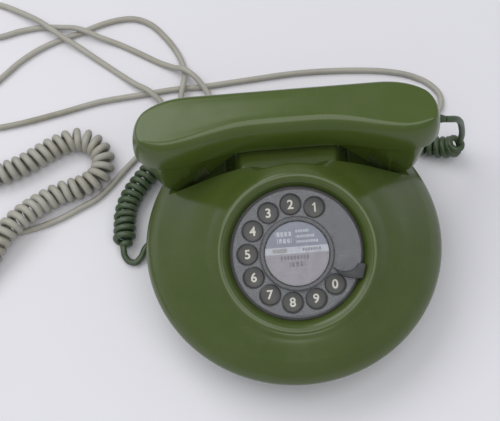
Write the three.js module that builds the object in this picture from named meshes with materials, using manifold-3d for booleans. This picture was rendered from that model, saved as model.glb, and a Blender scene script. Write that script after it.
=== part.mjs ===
// Round corded desk telephone with a rotary dial.
// Millimetres, +Z up, +Y to the back; origin at the middle of the round case, on the table.
import * as THREE from 'three';
import { mergeVertices } from 'three/addons/utils/BufferGeometryUtils.js';
import Module from 'manifold-3d';

const wasm = await Module();
wasm.setup();

// ---------------------------------------------------------------- driving dimensions
const GAP = 0.3; // clearance kept between touching pieces
const WALL = 2.6; // wall of the case
const BODY_RADIUS = 92; // widest radius of the round case
const WIDEST_HEIGHT = 38;
const SHOULDER_RADIUS = 82.5; // where the side rolls over into the top
const SHOULDER_HEIGHT = 48.5;
const RIM_RADIUS = 73; // lower edge of the case
const RIM_HEIGHT = 8.4;
const BLOCK_HALF_WIDTH = 29.7; // cradle block between the two handset cups
const BLOCK_FRONT = 31;
const BLOCK_BACK = 70;
const BLOCK_TOP = 76.6;
const TROUGH_FRONT = 31.6; // level room for the handset cups behind the raised ring
const TROUGH_FLOOR = 48.6;

const DIAL_Y = -24;
const DIAL_Z = 74;
const DIAL_TILT = THREE.MathUtils.degToRad(24.5);
const FINGER_PLATE_RADIUS = 37.8;
const FINGER_PLATE_THICKNESS = 2.4;
const HOLE_PITCH_RADIUS = 29;
const HOLE_RADIUS = 6.4;
const HOLE_COUNT = 10;
const FIRST_HOLE_ANGLE = 65; // degrees, measured from +X, hole for the digit 1
const HOLE_STEP_ANGLE = 28;
const NUMBER_PLATE_RADIUS = 40.6;
const NUMBER_PLATE_TOP = -5.6; // heights along the dial axis, 0 at the top of the finger plate
const NUMBER_PLATE_THICKNESS = 1.8;
const LABEL_RADIUS = 19;
const MAIN_WHEEL_TEETH = 40;
const PINION_TEETH = 10;
const GEAR_MODULE = 1.35;
const WHEEL_LEVEL = -18.6;
const GOVERNOR_ANGLE = THREE.MathUtils.degToRad(214);

const HANDSET_HALF_LENGTH = 91.5;
const HANDSET_TOP = 105;
const SPLIT_HEIGHT = 83; // joint between the handset cover and its lower shell
const CUP_BOTTOM = 50;
const CUP_X = 66;
const CUP_FLOOR = 52.4; // inside floor of a cup

const TRAY_RADIUS = 70.2;
const TRAY_BOTTOM = 4;
const SCREW_PLACES = [[60, -22], [-60, -22], [56, 34], [-56, 34]];
const FOOT_PLACES = [[40, -44], [-40, -44], [36, 50], [-36, 50]];
const FOOT_HEIGHT = 3.7;

const GONG_PLACE = [-29, 43];
const HAMMER_Y = 48;
const HAMMER_PIVOT_X = 12;

const GLAND_RADIUS = 75.4; // cord outlets in the tucked-in lower side of the case
const GLAND_HEIGHT = 13;
const GLAND_DROP = THREE.MathUtils.degToRad(20); // outlets point slightly down
const HANDSET_GLAND_ANGLE = THREE.MathUtils.degToRad(168);
const LINE_GLAND_ANGLE = THREE.MathUtils.degToRad(90);

const HANDSET_CORD = 4.2; // diameters of the cords and of their coiled stretches
const HANDSET_COIL = 14.8;
const LINE_CORD = 4;
const LINE_CURL = 16;

// ---------------------------------------------------------------- materials
const surface = (color, roughness, metalness) => new THREE.MeshStandardMaterial({ color, roughness, metalness });
const plastic = (colour, roughness) => surface(colour, roughness, 0);
const metal = (colour, roughness) => surface(colour, roughness, 1);
const GREEN = 0x53692d;
const DARK_GREEN = 0x2c4528;
const GREY_CORD = 0x9b968a;
const STEEL = 0xb4b6b8;
const BRASS = 0xb79a5c;

// ---------------------------------------------------------------- geometry helpers
function outward(geometry) {
  // Turns the faces round if they point inwards.
  const p = geometry.getAttribute('position');
  const index = geometry.index.array;
  const [a, b, c] = [new THREE.Vector3(), new THREE.Vector3(), new THREE.Vector3()];
  let volume = 0;
  for (let i = 0; i < index.length; i += 3) {
    a.fromBufferAttribute(p, index[i]);
    b.fromBufferAttribute(p, index[i + 1]);
    c.fromBufferAttribute(p, index[i + 2]);
    volume += a.dot(b.cross(c));
  }
  if (volume < 0) {
    for (let i = 0; i < index.length; i += 3) [index[i], index[i + 1]] = [index[i + 1], index[i]];
  }
  return geometry;
}

function closed(geometry) {
  geometry.deleteAttribute('normal');
  geometry.deleteAttribute('uv');
  const merged = mergeVertices(geometry, 1e-4);
  const index = merged.index.array;
  const kept = [];
  for (let i = 0; i < index.length; i += 3) {
    const [a, b, c] = [index[i], index[i + 1], index[i + 2]];
    if (a !== b && b !== c && c !== a) kept.push(a, b, c);
  }
  merged.setIndex(kept);
  return outward(merged);
}

function solid(geometry) {
  const g = closed(geometry);
  return new wasm.Manifold(new wasm.Mesh({
    numProp: 3,
    vertProperties: new Float32Array(g.getAttribute('position').array),
    triVerts: new Uint32Array(g.index.array),
  }));
}

function shape(manifold) {
  const mesh = manifold.getMesh();
  const geometry = new THREE.BufferGeometry();
  geometry.setAttribute('position', new THREE.BufferAttribute(new Float32Array(mesh.vertProperties), 3));
  geometry.setIndex(new THREE.BufferAttribute(new Uint32Array(mesh.triVerts), 1));
  return geometry;
}

const union = (first, ...rest) => shape(rest.reduce((sum, g) => sum.add(solid(g)), solid(first)));
const cut = (first, ...rest) => shape(rest.reduce((sum, g) => sum.subtract(solid(g)), solid(first)));

function box(width, depth, height, x = 0, y = 0, z = 0) {
  return new THREE.BoxGeometry(width, depth, height).translate(x, y, z);
}

function cylinder(radius, bottom, top, x = 0, y = 0, sides = 16, topRadius = radius) {
  // Upright cylinder or cone between two heights.
  const g = new THREE.CylinderGeometry(topRadius, radius, top - bottom, sides);
  return g.rotateX(Math.PI / 2).translate(x, y, (top + bottom) / 2);
}

function lathe(profile, sides = 48) {
  // Solid of revolution about +Z from [radius, height] pairs.
  const points = profile.map(([r, z]) => new THREE.Vector2(r, z));
  return new THREE.LatheGeometry(points, sides).rotateX(Math.PI / 2);
}

function ring(inner, outer, bottom, top, sides = 48) {
  return lathe([[inner, bottom], [outer, bottom], [outer, top], [inner, top], [inner, bottom]], sides);
}

function loft(rings) {
  // Closed solid through rings of points, each ring counter-clockwise seen from its end.
  const count = rings[0].length;
  const positions = [];
  const index = [];
  for (const r of rings) for (const v of r) positions.push(v.x, v.y, v.z);
  for (let i = 0; i + 1 < rings.length; i++) {
    for (let j = 0; j < count; j++) {
      const [a, b] = [i * count + j, i * count + (j + 1) % count];
      index.push(a, b, b + count, a, b + count, a + count);
    }
  }
  for (const [r, flip] of [[0, true], [rings.length - 1, false]]) {
    const middle = rings[r].reduce((sum, v) => sum.add(v), new THREE.Vector3()).divideScalar(count);
    const centre = positions.length / 3;
    positions.push(middle.x, middle.y, middle.z);
    for (let j = 0; j < count; j++) {
      const [a, b] = [r * count + j, r * count + (j + 1) % count];
      index.push(centre, flip ? b : a, flip ? a : b);
    }
  }
  const geometry = new THREE.BufferGeometry();
  geometry.setAttribute('position', new THREE.Float32BufferAttribute(positions, 3));
  geometry.setIndex(index);
  return outward(geometry);
}

function roundedRing(x0, x1, y0, y1, radius, z, perCorner = 4) {
  // Rounded rectangle at one height.
  const points = [];
  const corners = [[x1, y1, 0], [x0, y1, 90], [x0, y0, 180], [x1, y0, 270]];
  for (const [x, y, start] of corners) {
    const cx = x === x1 ? x - radius : x + radius;
    const cy = y === y1 ? y - radius : y + radius;
    for (let k = 0; k <= perCorner; k++) {
      const a = THREE.MathUtils.degToRad(start + 90 * k / perCorner);
      points.push(new THREE.Vector3(cx + radius * Math.cos(a), cy + radius * Math.sin(a), z));
    }
  }
  return points;
}

function along(points) {
  return new THREE.CatmullRomCurve3(points.map((p) => new THREE.Vector3(...p)), false, 'centripetal');
}

function stretch(points, from, to, count) {
  // Points of one part of a route, between two fractions of its length.
  const whole = along(points);
  const place = (k) => whole.getPointAt(from + (to - from) * k / count).toArray();
  return Array.from({ length: count + 1 }, (_, k) => place(k));
}

function tube(points, diameter, steps, sides = 8) {
  const section = new THREE.Shape();
  for (let k = 0; k < sides; k++) {
    const a = 2 * Math.PI * k / sides;
    const [x, y] = [diameter / 2 * Math.cos(a), diameter / 2 * Math.sin(a)];
    if (k === 0) section.moveTo(x, y);
    else section.lineTo(x, y);
  }
  return new THREE.ExtrudeGeometry(section, { steps, extrudePath: along(points), bevelEnabled: false });
}

function gear(teeth, bore, bottom, top) {
  const pitch = GEAR_MODULE * teeth / 2;
  const [root, tip] = [pitch - 1.25 * GEAR_MODULE, pitch + 0.8 * GEAR_MODULE];
  const outline = new THREE.Shape();
  const step = 2 * Math.PI / teeth;
  for (let k = 0; k < teeth; k++) {
    for (const [radius, part] of [[root, -0.22], [tip, -0.1], [tip, 0.1], [root, 0.22]]) {
      const a = (k + part) * step;
      const [x, y] = [radius * Math.cos(a), radius * Math.sin(a)];
      if (k === 0 && part === -0.22) outline.moveTo(x, y);
      else outline.lineTo(x, y);
    }
  }
  outline.holes.push(new THREE.Path().absarc(0, 0, bore, 0, 2 * Math.PI, true));
  const options = { depth: top - bottom, bevelEnabled: false, curveSegments: 10 };
  return new THREE.ExtrudeGeometry(outline, options).translate(0, 0, bottom);
}

// ---------------------------------------------------------------- assembly helpers
const phone = new THREE.Group();
const dial = new THREE.Group();
dial.position.set(0, DIAL_Y, DIAL_Z);
dial.rotation.x = DIAL_TILT;
phone.add(dial);

function add(name, geometry, material, parent = phone) {
  const mesh = new THREE.Mesh(closed(geometry), material);
  mesh.name = name;
  parent.add(mesh);
  return mesh;
}

function inDialFrame(geometry) {
  return geometry.rotateX(DIAL_TILT).translate(0, DIAL_Y, DIAL_Z);
}

// ---------------------------------------------------------------- case
const CASE_PROFILE = [
  [RIM_RADIUS, RIM_HEIGHT], [76.5, 14], [83, 22.5], [89, 30], [91.6, 35], [BODY_RADIUS, WIDEST_HEIGHT],
  [91.2, 41.5], [88.6, 45], [SHOULDER_RADIUS, SHOULDER_HEIGHT - 0.4],
];
const CRATER_SIDES = 40;
const CREST_PROFILE = [[44.6, 2.7], [46.4, 3], [49.8, 0.8], [53, -4]]; // radius and height along the dial axis
const FOOT_RADIUS = 64; // where the steep back of the raised ring runs out
const FOOT_Y = -13;
const LOW_RADIUS = 82; // where its gentle flank runs out over the shoulder, all round but at the back
const LOW_HEIGHT = 47.8;
const STEEP_BEYOND = 0.87; // sine of the angle, round the case, past which the flank is steep
const FLANK = [[0.22, 0.4], [0.55, 0.8], [1, 1]]; // share of the way out and of the way down

function craterBowl() {
  // Space inside the raised ring, above the lip that borders the dial.
  return inDialFrame(lathe([[0, -6], [39.4, -6], [39.4, -3.7], [40, -2], [41, 0], [42.6, 1.6], [44.8, 2.8],
    [47, 12], [0, 12]], 40));
}

function cradleBlock(inset) {
  const draft = 9;
  const base = roundedRing(-BLOCK_HALF_WIDTH - draft + inset, BLOCK_HALF_WIDTH + draft - inset,
    BLOCK_FRONT - 8 + inset, BLOCK_BACK + 8 - inset, 7, 46 - inset);
  const top = roundedRing(-BLOCK_HALF_WIDTH + inset, BLOCK_HALF_WIDTH - inset,
    BLOCK_FRONT + inset, BLOCK_BACK - inset, 4, BLOCK_TOP - 2.5 - inset);
  const cap = roundedRing(-BLOCK_HALF_WIDTH + 2 + inset, BLOCK_HALF_WIDTH - 2 - inset,
    BLOCK_FRONT + 2 + inset, BLOCK_BACK - 2 - inset, 3, BLOCK_TOP - inset);
  return loft([base, top, cap]);
}

function craterSolid(inset) {
  // Raised ring round the dial: tilted at its crest, level where it meets the top of the case.
  const around = (point) => Array.from({ length: CRATER_SIDES }, (_, k) => point(2 * Math.PI * k / CRATER_SIDES));
  const level = (radius, height, a) => new THREE.Vector3(radius * Math.cos(a), radius * Math.sin(a), height);
  const tilted = (radius, height) => (a) => level(radius - inset, height - inset * 0.8, a)
    .applyAxisAngle(new THREE.Vector3(1, 0, 0), DIAL_TILT).add(new THREE.Vector3(0, DIAL_Y, DIAL_Z));
  const low = (a) => level(LOW_RADIUS - inset, LOW_HEIGHT - inset, a);
  const foot = (a) => level(FOOT_RADIUS - inset, SHOULDER_HEIGHT - 1 - inset, a)
    .add(new THREE.Vector3(0, FOOT_Y, 0));
  const edge = tilted(...CREST_PROFILE.at(-1));
  const flankRing = (out, down) => around((a) => {
    const steep = THREE.MathUtils.smoothstep(Math.sin(a), STEEP_BEYOND, 1);
    const [from, to] = [edge(a), foot(a)];
    const sharp = new THREE.Vector3(THREE.MathUtils.lerp(from.x, to.x, out),
      THREE.MathUtils.lerp(from.y, to.y, out), THREE.MathUtils.lerp(from.z, to.z, down));
    return from.clone().lerp(low(a), (out + down) / 2).lerp(sharp, steep);
  });
  const flank = FLANK.map(([out, down]) => flankRing(out, down));
  const skirt = flank.at(-1).map((v) => v.clone().add(new THREE.Vector3(0, 0, -8)));
  const crest = CREST_PROFILE.map(([r, n]) => around(tilted(r, n)));
  return loft([skirt, ...flank.reverse(), ...crest.reverse()]);
}

function trough(inset) {
  const depth = 100;
  return box(240, depth, 60, 0, TROUGH_FRONT - inset + depth / 2, TROUGH_FLOOR - inset + 30);
}

function caseOutside() {
  const top = [[60, SHOULDER_HEIGHT + 1], [0, SHOULDER_HEIGHT + 1]];
  const body = lathe([[0, RIM_HEIGHT], ...CASE_PROFILE, ...top], 40);
  return union(cut(union(body, craterSolid(0)), trough(0)), cradleBlock(0));
}

function caseInside() {
  const inner = CASE_PROFILE.filter((_, i) => i % 2 === 0)
    .map(([r, z]) => [r - WALL, z > 40 ? z - WALL * 0.8 : z]);
  const body = lathe([[0, RIM_HEIGHT - 4], [RIM_RADIUS - WALL, RIM_HEIGHT - 4], ...inner,
    [60, SHOULDER_HEIGHT + 1 - WALL], [0, SHOULDER_HEIGHT + 1 - WALL]], 40);
  return union(cut(union(body, craterSolid(WALL)), trough(WALL)), cradleBlock(WALL));
}

function caseShell() {
  const plungerHoles = [-18, 18].map((x) => cylinder(3.7, 60, 90, x, 56, 16));
  const posts = SCREW_PLACES.map(([x, y]) => cylinder(4.2, 9, 90, x, y, 16));
  const hollow = cut(caseInside(), ...posts);
  const screwHoles = SCREW_PLACES.map(([x, y]) => cylinder(1.9, 8, 24, x, y, 10));
  const glandSlots = [HANDSET_GLAND_ANGLE, LINE_GLAND_ANGLE].map((angle) => (
    box(14, 8.6, 8.6, GLAND_RADIUS, 0, GLAND_HEIGHT).rotateZ(angle)));
  return cut(caseOutside(), hollow, craterBowl(), ...plungerHoles, ...screwHoles, ...glandSlots);
}

add('case_shell', caseShell(), plastic(GREEN, 0.35));

// ---------------------------------------------------------------- base
function baseTray() {
  const pan = lathe([[0, TRAY_BOTTOM], [67.5, TRAY_BOTTOM], [TRAY_RADIUS, 6.2], [TRAY_RADIUS, 8.2],
    [68.2, 8.2], [67, 6], [0, 6]], 40);
  const holes = SCREW_PLACES.map(([x, y]) => cylinder(2.2, 2, 8, x, y, 12));
  const gongPost = cylinder(1.5, 5, 30, ...GONG_PLACE, 12);
  const hammerPost = cylinder(1.6, 5, 18.6, HAMMER_PIVOT_X, HAMMER_Y, 12);
  return cut(union(pan, gongPost, hammerPost), ...holes);
}

add('base_tray', baseTray(), plastic(0x3a3d3a, 0.6));
SCREW_PLACES.forEach(([x, y], i) => {
  const head = lathe([[0, 1.9], [2.6, 1.9], [3.6, 2.6], [3.6, 3.7], [1.6, 3.7], [1.6, 18], [0, 19]], 10);
  const slot = box(8, 0.8, 1.2, 0, 0, 2.1);
  add(`case_screw_${i + 1}`, cut(head, slot).translate(x, y, 0), metal(STEEL, 0.35));
});
FOOT_PLACES.forEach(([x, y], i) => {
  const foot = lathe([[0, 0], [7, 0], [8, 1.2], [8, FOOT_HEIGHT], [0, FOOT_HEIGHT]], 16);
  add(`rubber_foot_${i + 1}`, foot.translate(x, y, 0), plastic(0x1c1c1c, 0.85));
});

// ---------------------------------------------------------------- electrics on the base
function circuitBoard() {
  const board = box(96, 50, 1.6, 0, -16, 12);
  const legs = [[-44, -37], [44, -37], [-44, 5], [44, 5]].map(([x, y]) => cylinder(2.5, 6.3, 11.6, x, y, 10));
  return union(board, ...legs);
}

function terminalBlock() {
  const block = box(40, 12, 8, 0, 2, 17.2);
  const wells = [-15, -9, -3, 3, 9, 15].map((x) => cylinder(1.6, 15, 24, x, 2, 8));
  return cut(block, ...wells);
}

add('circuit_board', circuitBoard(), plastic(0x8a7340, 0.6));
add('terminal_block', terminalBlock(), plastic(0xd8d2c0, 0.5));
add('induction_coil', union(box(18, 14, 12, 34, -22, 19.2), cylinder(5, 20, 29, 34, -22, 20)),
  metal(0x8d8f92, 0.5));
add('line_capacitor', cylinder(7, 13.2, 27, -34, -20, 20), plastic(0x9aa0a6, 0.4));

// ---------------------------------------------------------------- bell
function gong() {
  return lathe([[1.8, 26.5], [8, 26], [15, 22], [18, 16], [19, 16], [16, 23.2], [8.6, 27.6], [1.8, 28.2],
    [1.8, 26.5]], 24);
}

function bellHammer() {
  const arm = box(18, 1.6, 1.6, HAMMER_PIVOT_X - 9, HAMMER_Y, 24);
  const head = cylinder(2.4, 17, 26, HAMMER_PIVOT_X - 18.5, HAMMER_Y, 14);
  const hub = cylinder(2.2, 19, 27, HAMMER_PIVOT_X, HAMMER_Y, 12);
  return union(arm, head, hub);
}

add('bell_gong', gong().translate(...GONG_PLACE, 0), metal(BRASS, 0.3));
add('bell_coil', union(cylinder(8, 8, 28, 26, 44, 16), box(20, 20, 2, 26, 44, 7.4), box(20, 20, 2, 26, 44, 29)),
  plastic(0x7a3b22, 0.5));
add('bell_hammer', bellHammer(), metal(STEEL, 0.4));

// ---------------------------------------------------------------- cradle switch
const PLUNGER_Y = 56;
for (const [side, x] of [['left', -18], ['right', 18]]) {
  const plunger = lathe([[0, 60], [3.2, 60], [3.2, 76.9], [2.4, 78], [0, 78.4]], 16);
  add(`cradle_plunger_${side}`, plunger.translate(x, PLUNGER_Y, 0), plastic(DARK_GREEN, 0.35));
}
add('plunger_yoke', box(46, 8, 3.4, 0, PLUNGER_Y, 58), plastic(0x2b2b2b, 0.5));

const LEVER_Y = 44.5;
const LEVER_Z = 51;

function crossPin(radius, halfLength, sides) {
  // Short cylinder along X at the lever's pivot.
  return cylinder(radius, -halfLength, halfLength, 0, 0, sides).rotateY(Math.PI / 2)
    .translate(0, LEVER_Y, LEVER_Z);
}

function hookSwitchFrame() {
  const plate = box(19, 2, 48, 0, 38, 30.5);
  const foot = box(19, 12, 2, 0, 37, 7.3);
  const cheeks = [-5, 5].map((x) => box(2, 10, 10, x, 43.5, 51));
  return union(plate, foot, ...cheeks, crossPin(1.2, 6.5, 12));
}

function hookLever() {
  const arm = union(box(5, 14, 2, 0, 51.5, LEVER_Z), box(5, 3, 5.4, 0, 57, 53), crossPin(3, 3, 16));
  return cut(arm, crossPin(1.6, 5, 12));
}

add('hook_switch_frame', hookSwitchFrame(), metal(0x9a9c9e, 0.5));
add('hook_lever', hookLever(), metal(STEEL, 0.4));
for (const [k, x] of [[1, -7.7], [2, 7.7]]) {
  add(`hook_contact_${k}`, box(3, 0.8, 24, x, 39.8, 40), metal(BRASS, 0.3));
}

// ---------------------------------------------------------------- rotary dial
function fingerHoleAngle(k) {
  return THREE.MathUtils.degToRad(FIRST_HOLE_ANGLE + k * HOLE_STEP_ANGLE);
}

function fingerPlate() {
  const bottom = -FINGER_PLATE_THICKNESS;
  const edge = FINGER_PLATE_RADIUS - 0.6;
  const plate = lathe([[5, bottom], [edge, bottom], [FINGER_PLATE_RADIUS, -1.8], [FINGER_PLATE_RADIUS, -0.6],
    [edge, 0], [5, 0], [5, bottom]], 48);
  const holes = Array.from({ length: HOLE_COUNT }, (_, k) => cylinder(HOLE_RADIUS, -4, 2,
    HOLE_PITCH_RADIUS * Math.cos(fingerHoleAngle(k)), HOLE_PITCH_RADIUS * Math.sin(fingerHoleAngle(k)), 16));
  return cut(plate, ...holes);
}

function fingerStop() {
  // Curved blade that reaches in over the finger plate from the rim.
  const angle = THREE.MathUtils.degToRad(-24);
  const blade = new THREE.Shape();
  blade.moveTo(22, 4.5);
  blade.quadraticCurveTo(31, 0, 40.2, 4.2);
  blade.lineTo(40.2, -4.2);
  blade.quadraticCurveTo(30, -5.6, 22, 2.8);
  const plate = new THREE.ExtrudeGeometry(blade, { depth: 1.6, bevelEnabled: false, curveSegments: 8 });
  const foot = box(0.8, 6, 7, 38.6, 0, -1.7);
  return union(plate.translate(0, 0, 0.6), foot).rotateZ(angle);
}

function spiralSpring(inner, outer, turns, bottom, top) {
  const steps = turns * 16;
  const edge = [];
  const back = [];
  for (let k = 0; k <= steps; k++) {
    const a = 2 * Math.PI * k * turns / steps;
    const r = inner + (outer - inner) * k / steps;
    edge.push(new THREE.Vector2(r * Math.cos(a), r * Math.sin(a)));
    back.unshift(new THREE.Vector2((r + 0.7) * Math.cos(a), (r + 0.7) * Math.sin(a)));
  }
  const outline = new THREE.Shape([...edge, ...back]);
  return new THREE.ExtrudeGeometry(outline, { depth: top - bottom, bevelEnabled: false })
    .translate(0, 0, bottom);
}

const numberPlateBottom = NUMBER_PLATE_TOP - NUMBER_PLATE_THICKNESS;
const wheelDistance = GEAR_MODULE * (MAIN_WHEEL_TEETH + PINION_TEETH) / 2;
const governorX = wheelDistance * Math.cos(GOVERNOR_ANGLE);
const governorY = wheelDistance * Math.sin(GOVERNOR_ANGLE);

add('finger_plate', fingerPlate(), plastic(0x85878c, 0.15), dial);
add('label_disc', cylinder(LABEL_RADIUS - 0.2, 0.3, 0.8, 0, 0, 32), plastic(0xb9aeb0, 0.6), dial);
add('label_ring', ring(LABEL_RADIUS + 0.1, 22, 0.3, 2, 32), plastic(0x6f7276, 0.25), dial);
add('label_cover', cylinder(LABEL_RADIUS - 0.2, 1.1, 1.9, 0, 0, 32), plastic(0xdfe3e6, 0.08), dial);
add('finger_stop', fingerStop(), metal(0x2f3a40, 0.4), dial);
add('dial_gasket', ring(39.6, 41.6, -5.3, -4.2, 40), plastic(0x1e2020, 0.7), dial);
add('number_plate', ring(6, NUMBER_PLATE_RADIUS, numberPlateBottom, NUMBER_PLATE_TOP, 40),
  plastic(0x3f4042, 0.45), dial);
add('dial_spindle', lathe([[0, -26], [3.6, -26], [3.6, -15.3], [4.7, -15.3], [4.7, -0.3], [0, -0.3]], 14),
  metal(STEEL, 0.35), dial);
add('main_wheel', gear(MAIN_WHEEL_TEETH, 4, WHEEL_LEVEL, WHEEL_LEVEL + 2.4), metal(BRASS, 0.35), dial);
add('mainspring', spiralSpring(6.4, 15, 4, -12.7, -8.3), metal(0x6d7276, 0.35), dial);

function dialFrame() {
  const plate = ring(5.2, 34, -15.2, -13.6, 32);
  const posts = [20, 140, 260].map((a) => {
    const t = THREE.MathUtils.degToRad(a);
    return cylinder(2.4, -14.4, numberPlateBottom - GAP, 30 * Math.cos(t), 30 * Math.sin(t), 12);
  });
  const shaftHole = cylinder(2, -20, -10, governorX, governorY, 12);
  const ear = cylinder(6, -15.2, -13.6, governorX, governorY, 20);
  return cut(union(plate, ear, ...posts), shaftHole);
}

function dialBridge() {
  // Lower bearing plate, hung from the frame on pillars outside the main wheel.
  const bar = ring(3.9, 33, -23.4, -21.8, 28);
  const pillars = [80, 180, 300].map((a) => {
    const t = THREE.MathUtils.degToRad(a);
    return cylinder(2, -22.6, -15.5, 30.6 * Math.cos(t), 30.6 * Math.sin(t), 12);
  });
  const clearance = cylinder(3.6, -26, -18, governorX, governorY, 14);
  return cut(union(bar, ...pillars), clearance);
}

add('dial_frame', dialFrame(), metal(STEEL, 0.4), dial);
add('dial_bridge', dialBridge(), metal(STEEL, 0.45), dial);

// Speed governor, driven by the main wheel.
const governor = new THREE.Group();
governor.position.set(governorX, governorY, 0);
dial.add(governor);
const pinionPhase = Math.PI - Math.PI / PINION_TEETH + GOVERNOR_ANGLE * (1 + MAIN_WHEEL_TEETH / PINION_TEETH);
add('governor_shaft', cylinder(1.4, -31, -12.5, 0, 0, 14), metal(STEEL, 0.3), governor);
add('governor_pinion', gear(PINION_TEETH, 1.7, WHEEL_LEVEL, WHEEL_LEVEL + 2.4), metal(BRASS, 0.35), governor)
  .rotation.z = pinionPhase;

function governorWeights() {
  const weight = (x) => cylinder(2.6, -29.4, -26.6, x, 0, 12);
  const arm = union(box(12, 3, 2.4, 0, 0, -28), cylinder(3, -29.2, -26.8, 0, 0, 16), weight(6), weight(-6));
  return cut(arm, cylinder(1.7, -32, -24, 0, 0, 12));
}

function governorDrum() {
  return lathe([[2, -33], [11.4, -33], [11.4, -24.6], [10, -24.6], [10, -31.6], [2, -31.6], [2, -33]], 20);
}

add('governor_weights', governorWeights(), metal(BRASS, 0.4), governor);
add('governor_drum', governorDrum(), metal(0x9a9c9e, 0.4), governor);

// Pulse contacts beside the main wheel.
const pulseBlade = (z) => box(18, 3.4, 0.5, 3.1, 26, z);
add('pulse_contacts', union(box(9, 8, 4, -9, 26, -11), pulseBlade(-12.2), pulseBlade(-10.4)),
  metal(BRASS, 0.3), dial);

// ---------------------------------------------------------------- handset
function handsetOutline(inset, z) {
  // Plan of the handset: straight back, round ends, front drawn in between the two cups.
  const half = HANDSET_HALF_LENGTH;
  const outline = new THREE.Shape();
  outline.moveTo(0, 74);
  outline.lineTo(-56, 74);
  outline.bezierCurveTo(-80, 74, -half, 62, -half, 49);
  outline.bezierCurveTo(-half, 38, -84, 32.4, -72, 32.4);
  outline.bezierCurveTo(-56, 32.4, -40, 40.2, -18, 40.2);
  outline.lineTo(18, 40.2);
  outline.bezierCurveTo(40, 40.2, 56, 32.4, 72, 32.4);
  outline.bezierCurveTo(84, 32.4, half, 38, half, 49);
  outline.bezierCurveTo(half, 62, 80, 74, 56, 74);
  const points = outline.getPoints(7).slice(0, -1);
  const count = points.length;
  return points.map((p, i) => {
    const before = points[(i + count - 1) % count];
    const after = points[(i + 1) % count];
    const normal = new THREE.Vector2(after.y - before.y, before.x - after.x).normalize();
    return new THREE.Vector3(p.x - normal.x * inset, p.y - normal.y * inset, z);
  });
}

function handsetCover() {
  const outside = loft([
    handsetOutline(0.8, SPLIT_HEIGHT + 0.15), handsetOutline(0, 86), handsetOutline(0, 93),
    handsetOutline(1, 98.5), handsetOutline(3, 102), handsetOutline(6, 104.2), handsetOutline(11, HANDSET_TOP),
  ]);
  const inside = loft([handsetOutline(3.2, SPLIT_HEIGHT - 1), handsetOutline(2.6, 93), handsetOutline(6, 100),
    handsetOutline(11, 102.4)]);
  return cut(outside, inside);
}

function cupSolid(side, inset, floor, top) {
  // One earpiece or mouthpiece cup, tapering down from the grip.
  const levels = [
    [floor, 55, 78.5, 35.5, 66, 9], [floor + 2.2, 53, 80.5, 33.8, 68, 10], [64, 45, 82.5, 33.2, 70, 11],
    [74, 36, 85, 33.6, 71, 12], [top, 29, 87, 34.5, 71.5, 12],
  ];
  return loft(levels.map(([z, x0, x1, y0, y1, r]) => {
    const [low, high] = side > 0 ? [x0 + inset, x1 - inset] : [-x1 + inset, -x0 - inset];
    return roundedRing(low, high, y0 + inset, y1 - inset, Math.max(r - inset, 3), z);
  }));
}

function handsetBody() {
  const web = loft([handsetOutline(3, 80), handsetOutline(1.6, SPLIT_HEIGHT - 0.15)]);
  const channel = box(50, 22, 6, 0, 57, 84.6);
  const soundHoles = [];
  for (const side of [-1, 1]) {
    soundHoles.push(cylinder(1.2, 48, 54, side * CUP_X, 51, 6));
    for (let k = 0; k < 5; k++) {
      const a = k * 2 * Math.PI / 5;
      soundHoles.push(cylinder(1.2, 48, 54, side * CUP_X + 5.5 * Math.cos(a), 51 + 5.5 * Math.sin(a), 6));
    }
  }
  const outside = union(web, cupSolid(-1, 0, CUP_BOTTOM, 82), cupSolid(1, 0, CUP_BOTTOM, 82));
  const cordEntry = cylinder(3.6, -8, 8, 0, 0, 12).rotateY(Math.PI / 2).translate(84, 60, 71);
  return cut(outside, cupSolid(-1, 2.4, CUP_FLOOR, 90), cupSolid(1, 2.4, CUP_FLOOR, 90), channel,
    cordEntry, ...soundHoles);
}

function capsule(x) {
  return lathe([[0, 52.8], [8.6, 52.8], [9, 56], [12, 62], [12, 70], [10, 72], [0, 72]], 20)
    .translate(x, 51.5, 0);
}

add('handset_cover', handsetCover(), plastic(GREEN, 0.3));
add('handset_body', handsetBody(), plastic(GREEN, 0.32));
add('receiver_capsule', capsule(-CUP_X), metal(0x8f9296, 0.45));
add('transmitter_capsule', capsule(CUP_X), metal(0x8f9296, 0.45));

// ---------------------------------------------------------------- cord glands
function strainRelief(length, wide, narrow, collar) {
  // Tapered sleeve along +X with a collar inside the wall and a through bore.
  const bore = 0.6;
  const sleeve = lathe([[bore, -4], [collar, -4], [collar, -2.4], [wide, -2.4], [wide, 2], [narrow, length],
    [bore, length], [bore, -4]], 10);
  return sleeve.rotateY(Math.PI / 2);
}

function caseGland(length, narrow, angle) {
  return strainRelief(length, 3.7, narrow, 4.1).rotateY(GLAND_DROP).translate(GLAND_RADIUS, 0, GLAND_HEIGHT)
    .rotateZ(angle);
}

const endGland = strainRelief(9, 3.2, 2.5, 4.4).rotateY(GLAND_DROP).translate(90.6, 60, 70.6);
add('handset_gland', endGland, plastic(DARK_GREEN, 0.5));
add('base_gland', caseGland(14, 2.6, HANDSET_GLAND_ANGLE), plastic(DARK_GREEN, 0.5));
add('line_gland', caseGland(16, 2.7, LINE_GLAND_ANGLE), plastic(GREY_CORD, 0.5));

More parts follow.
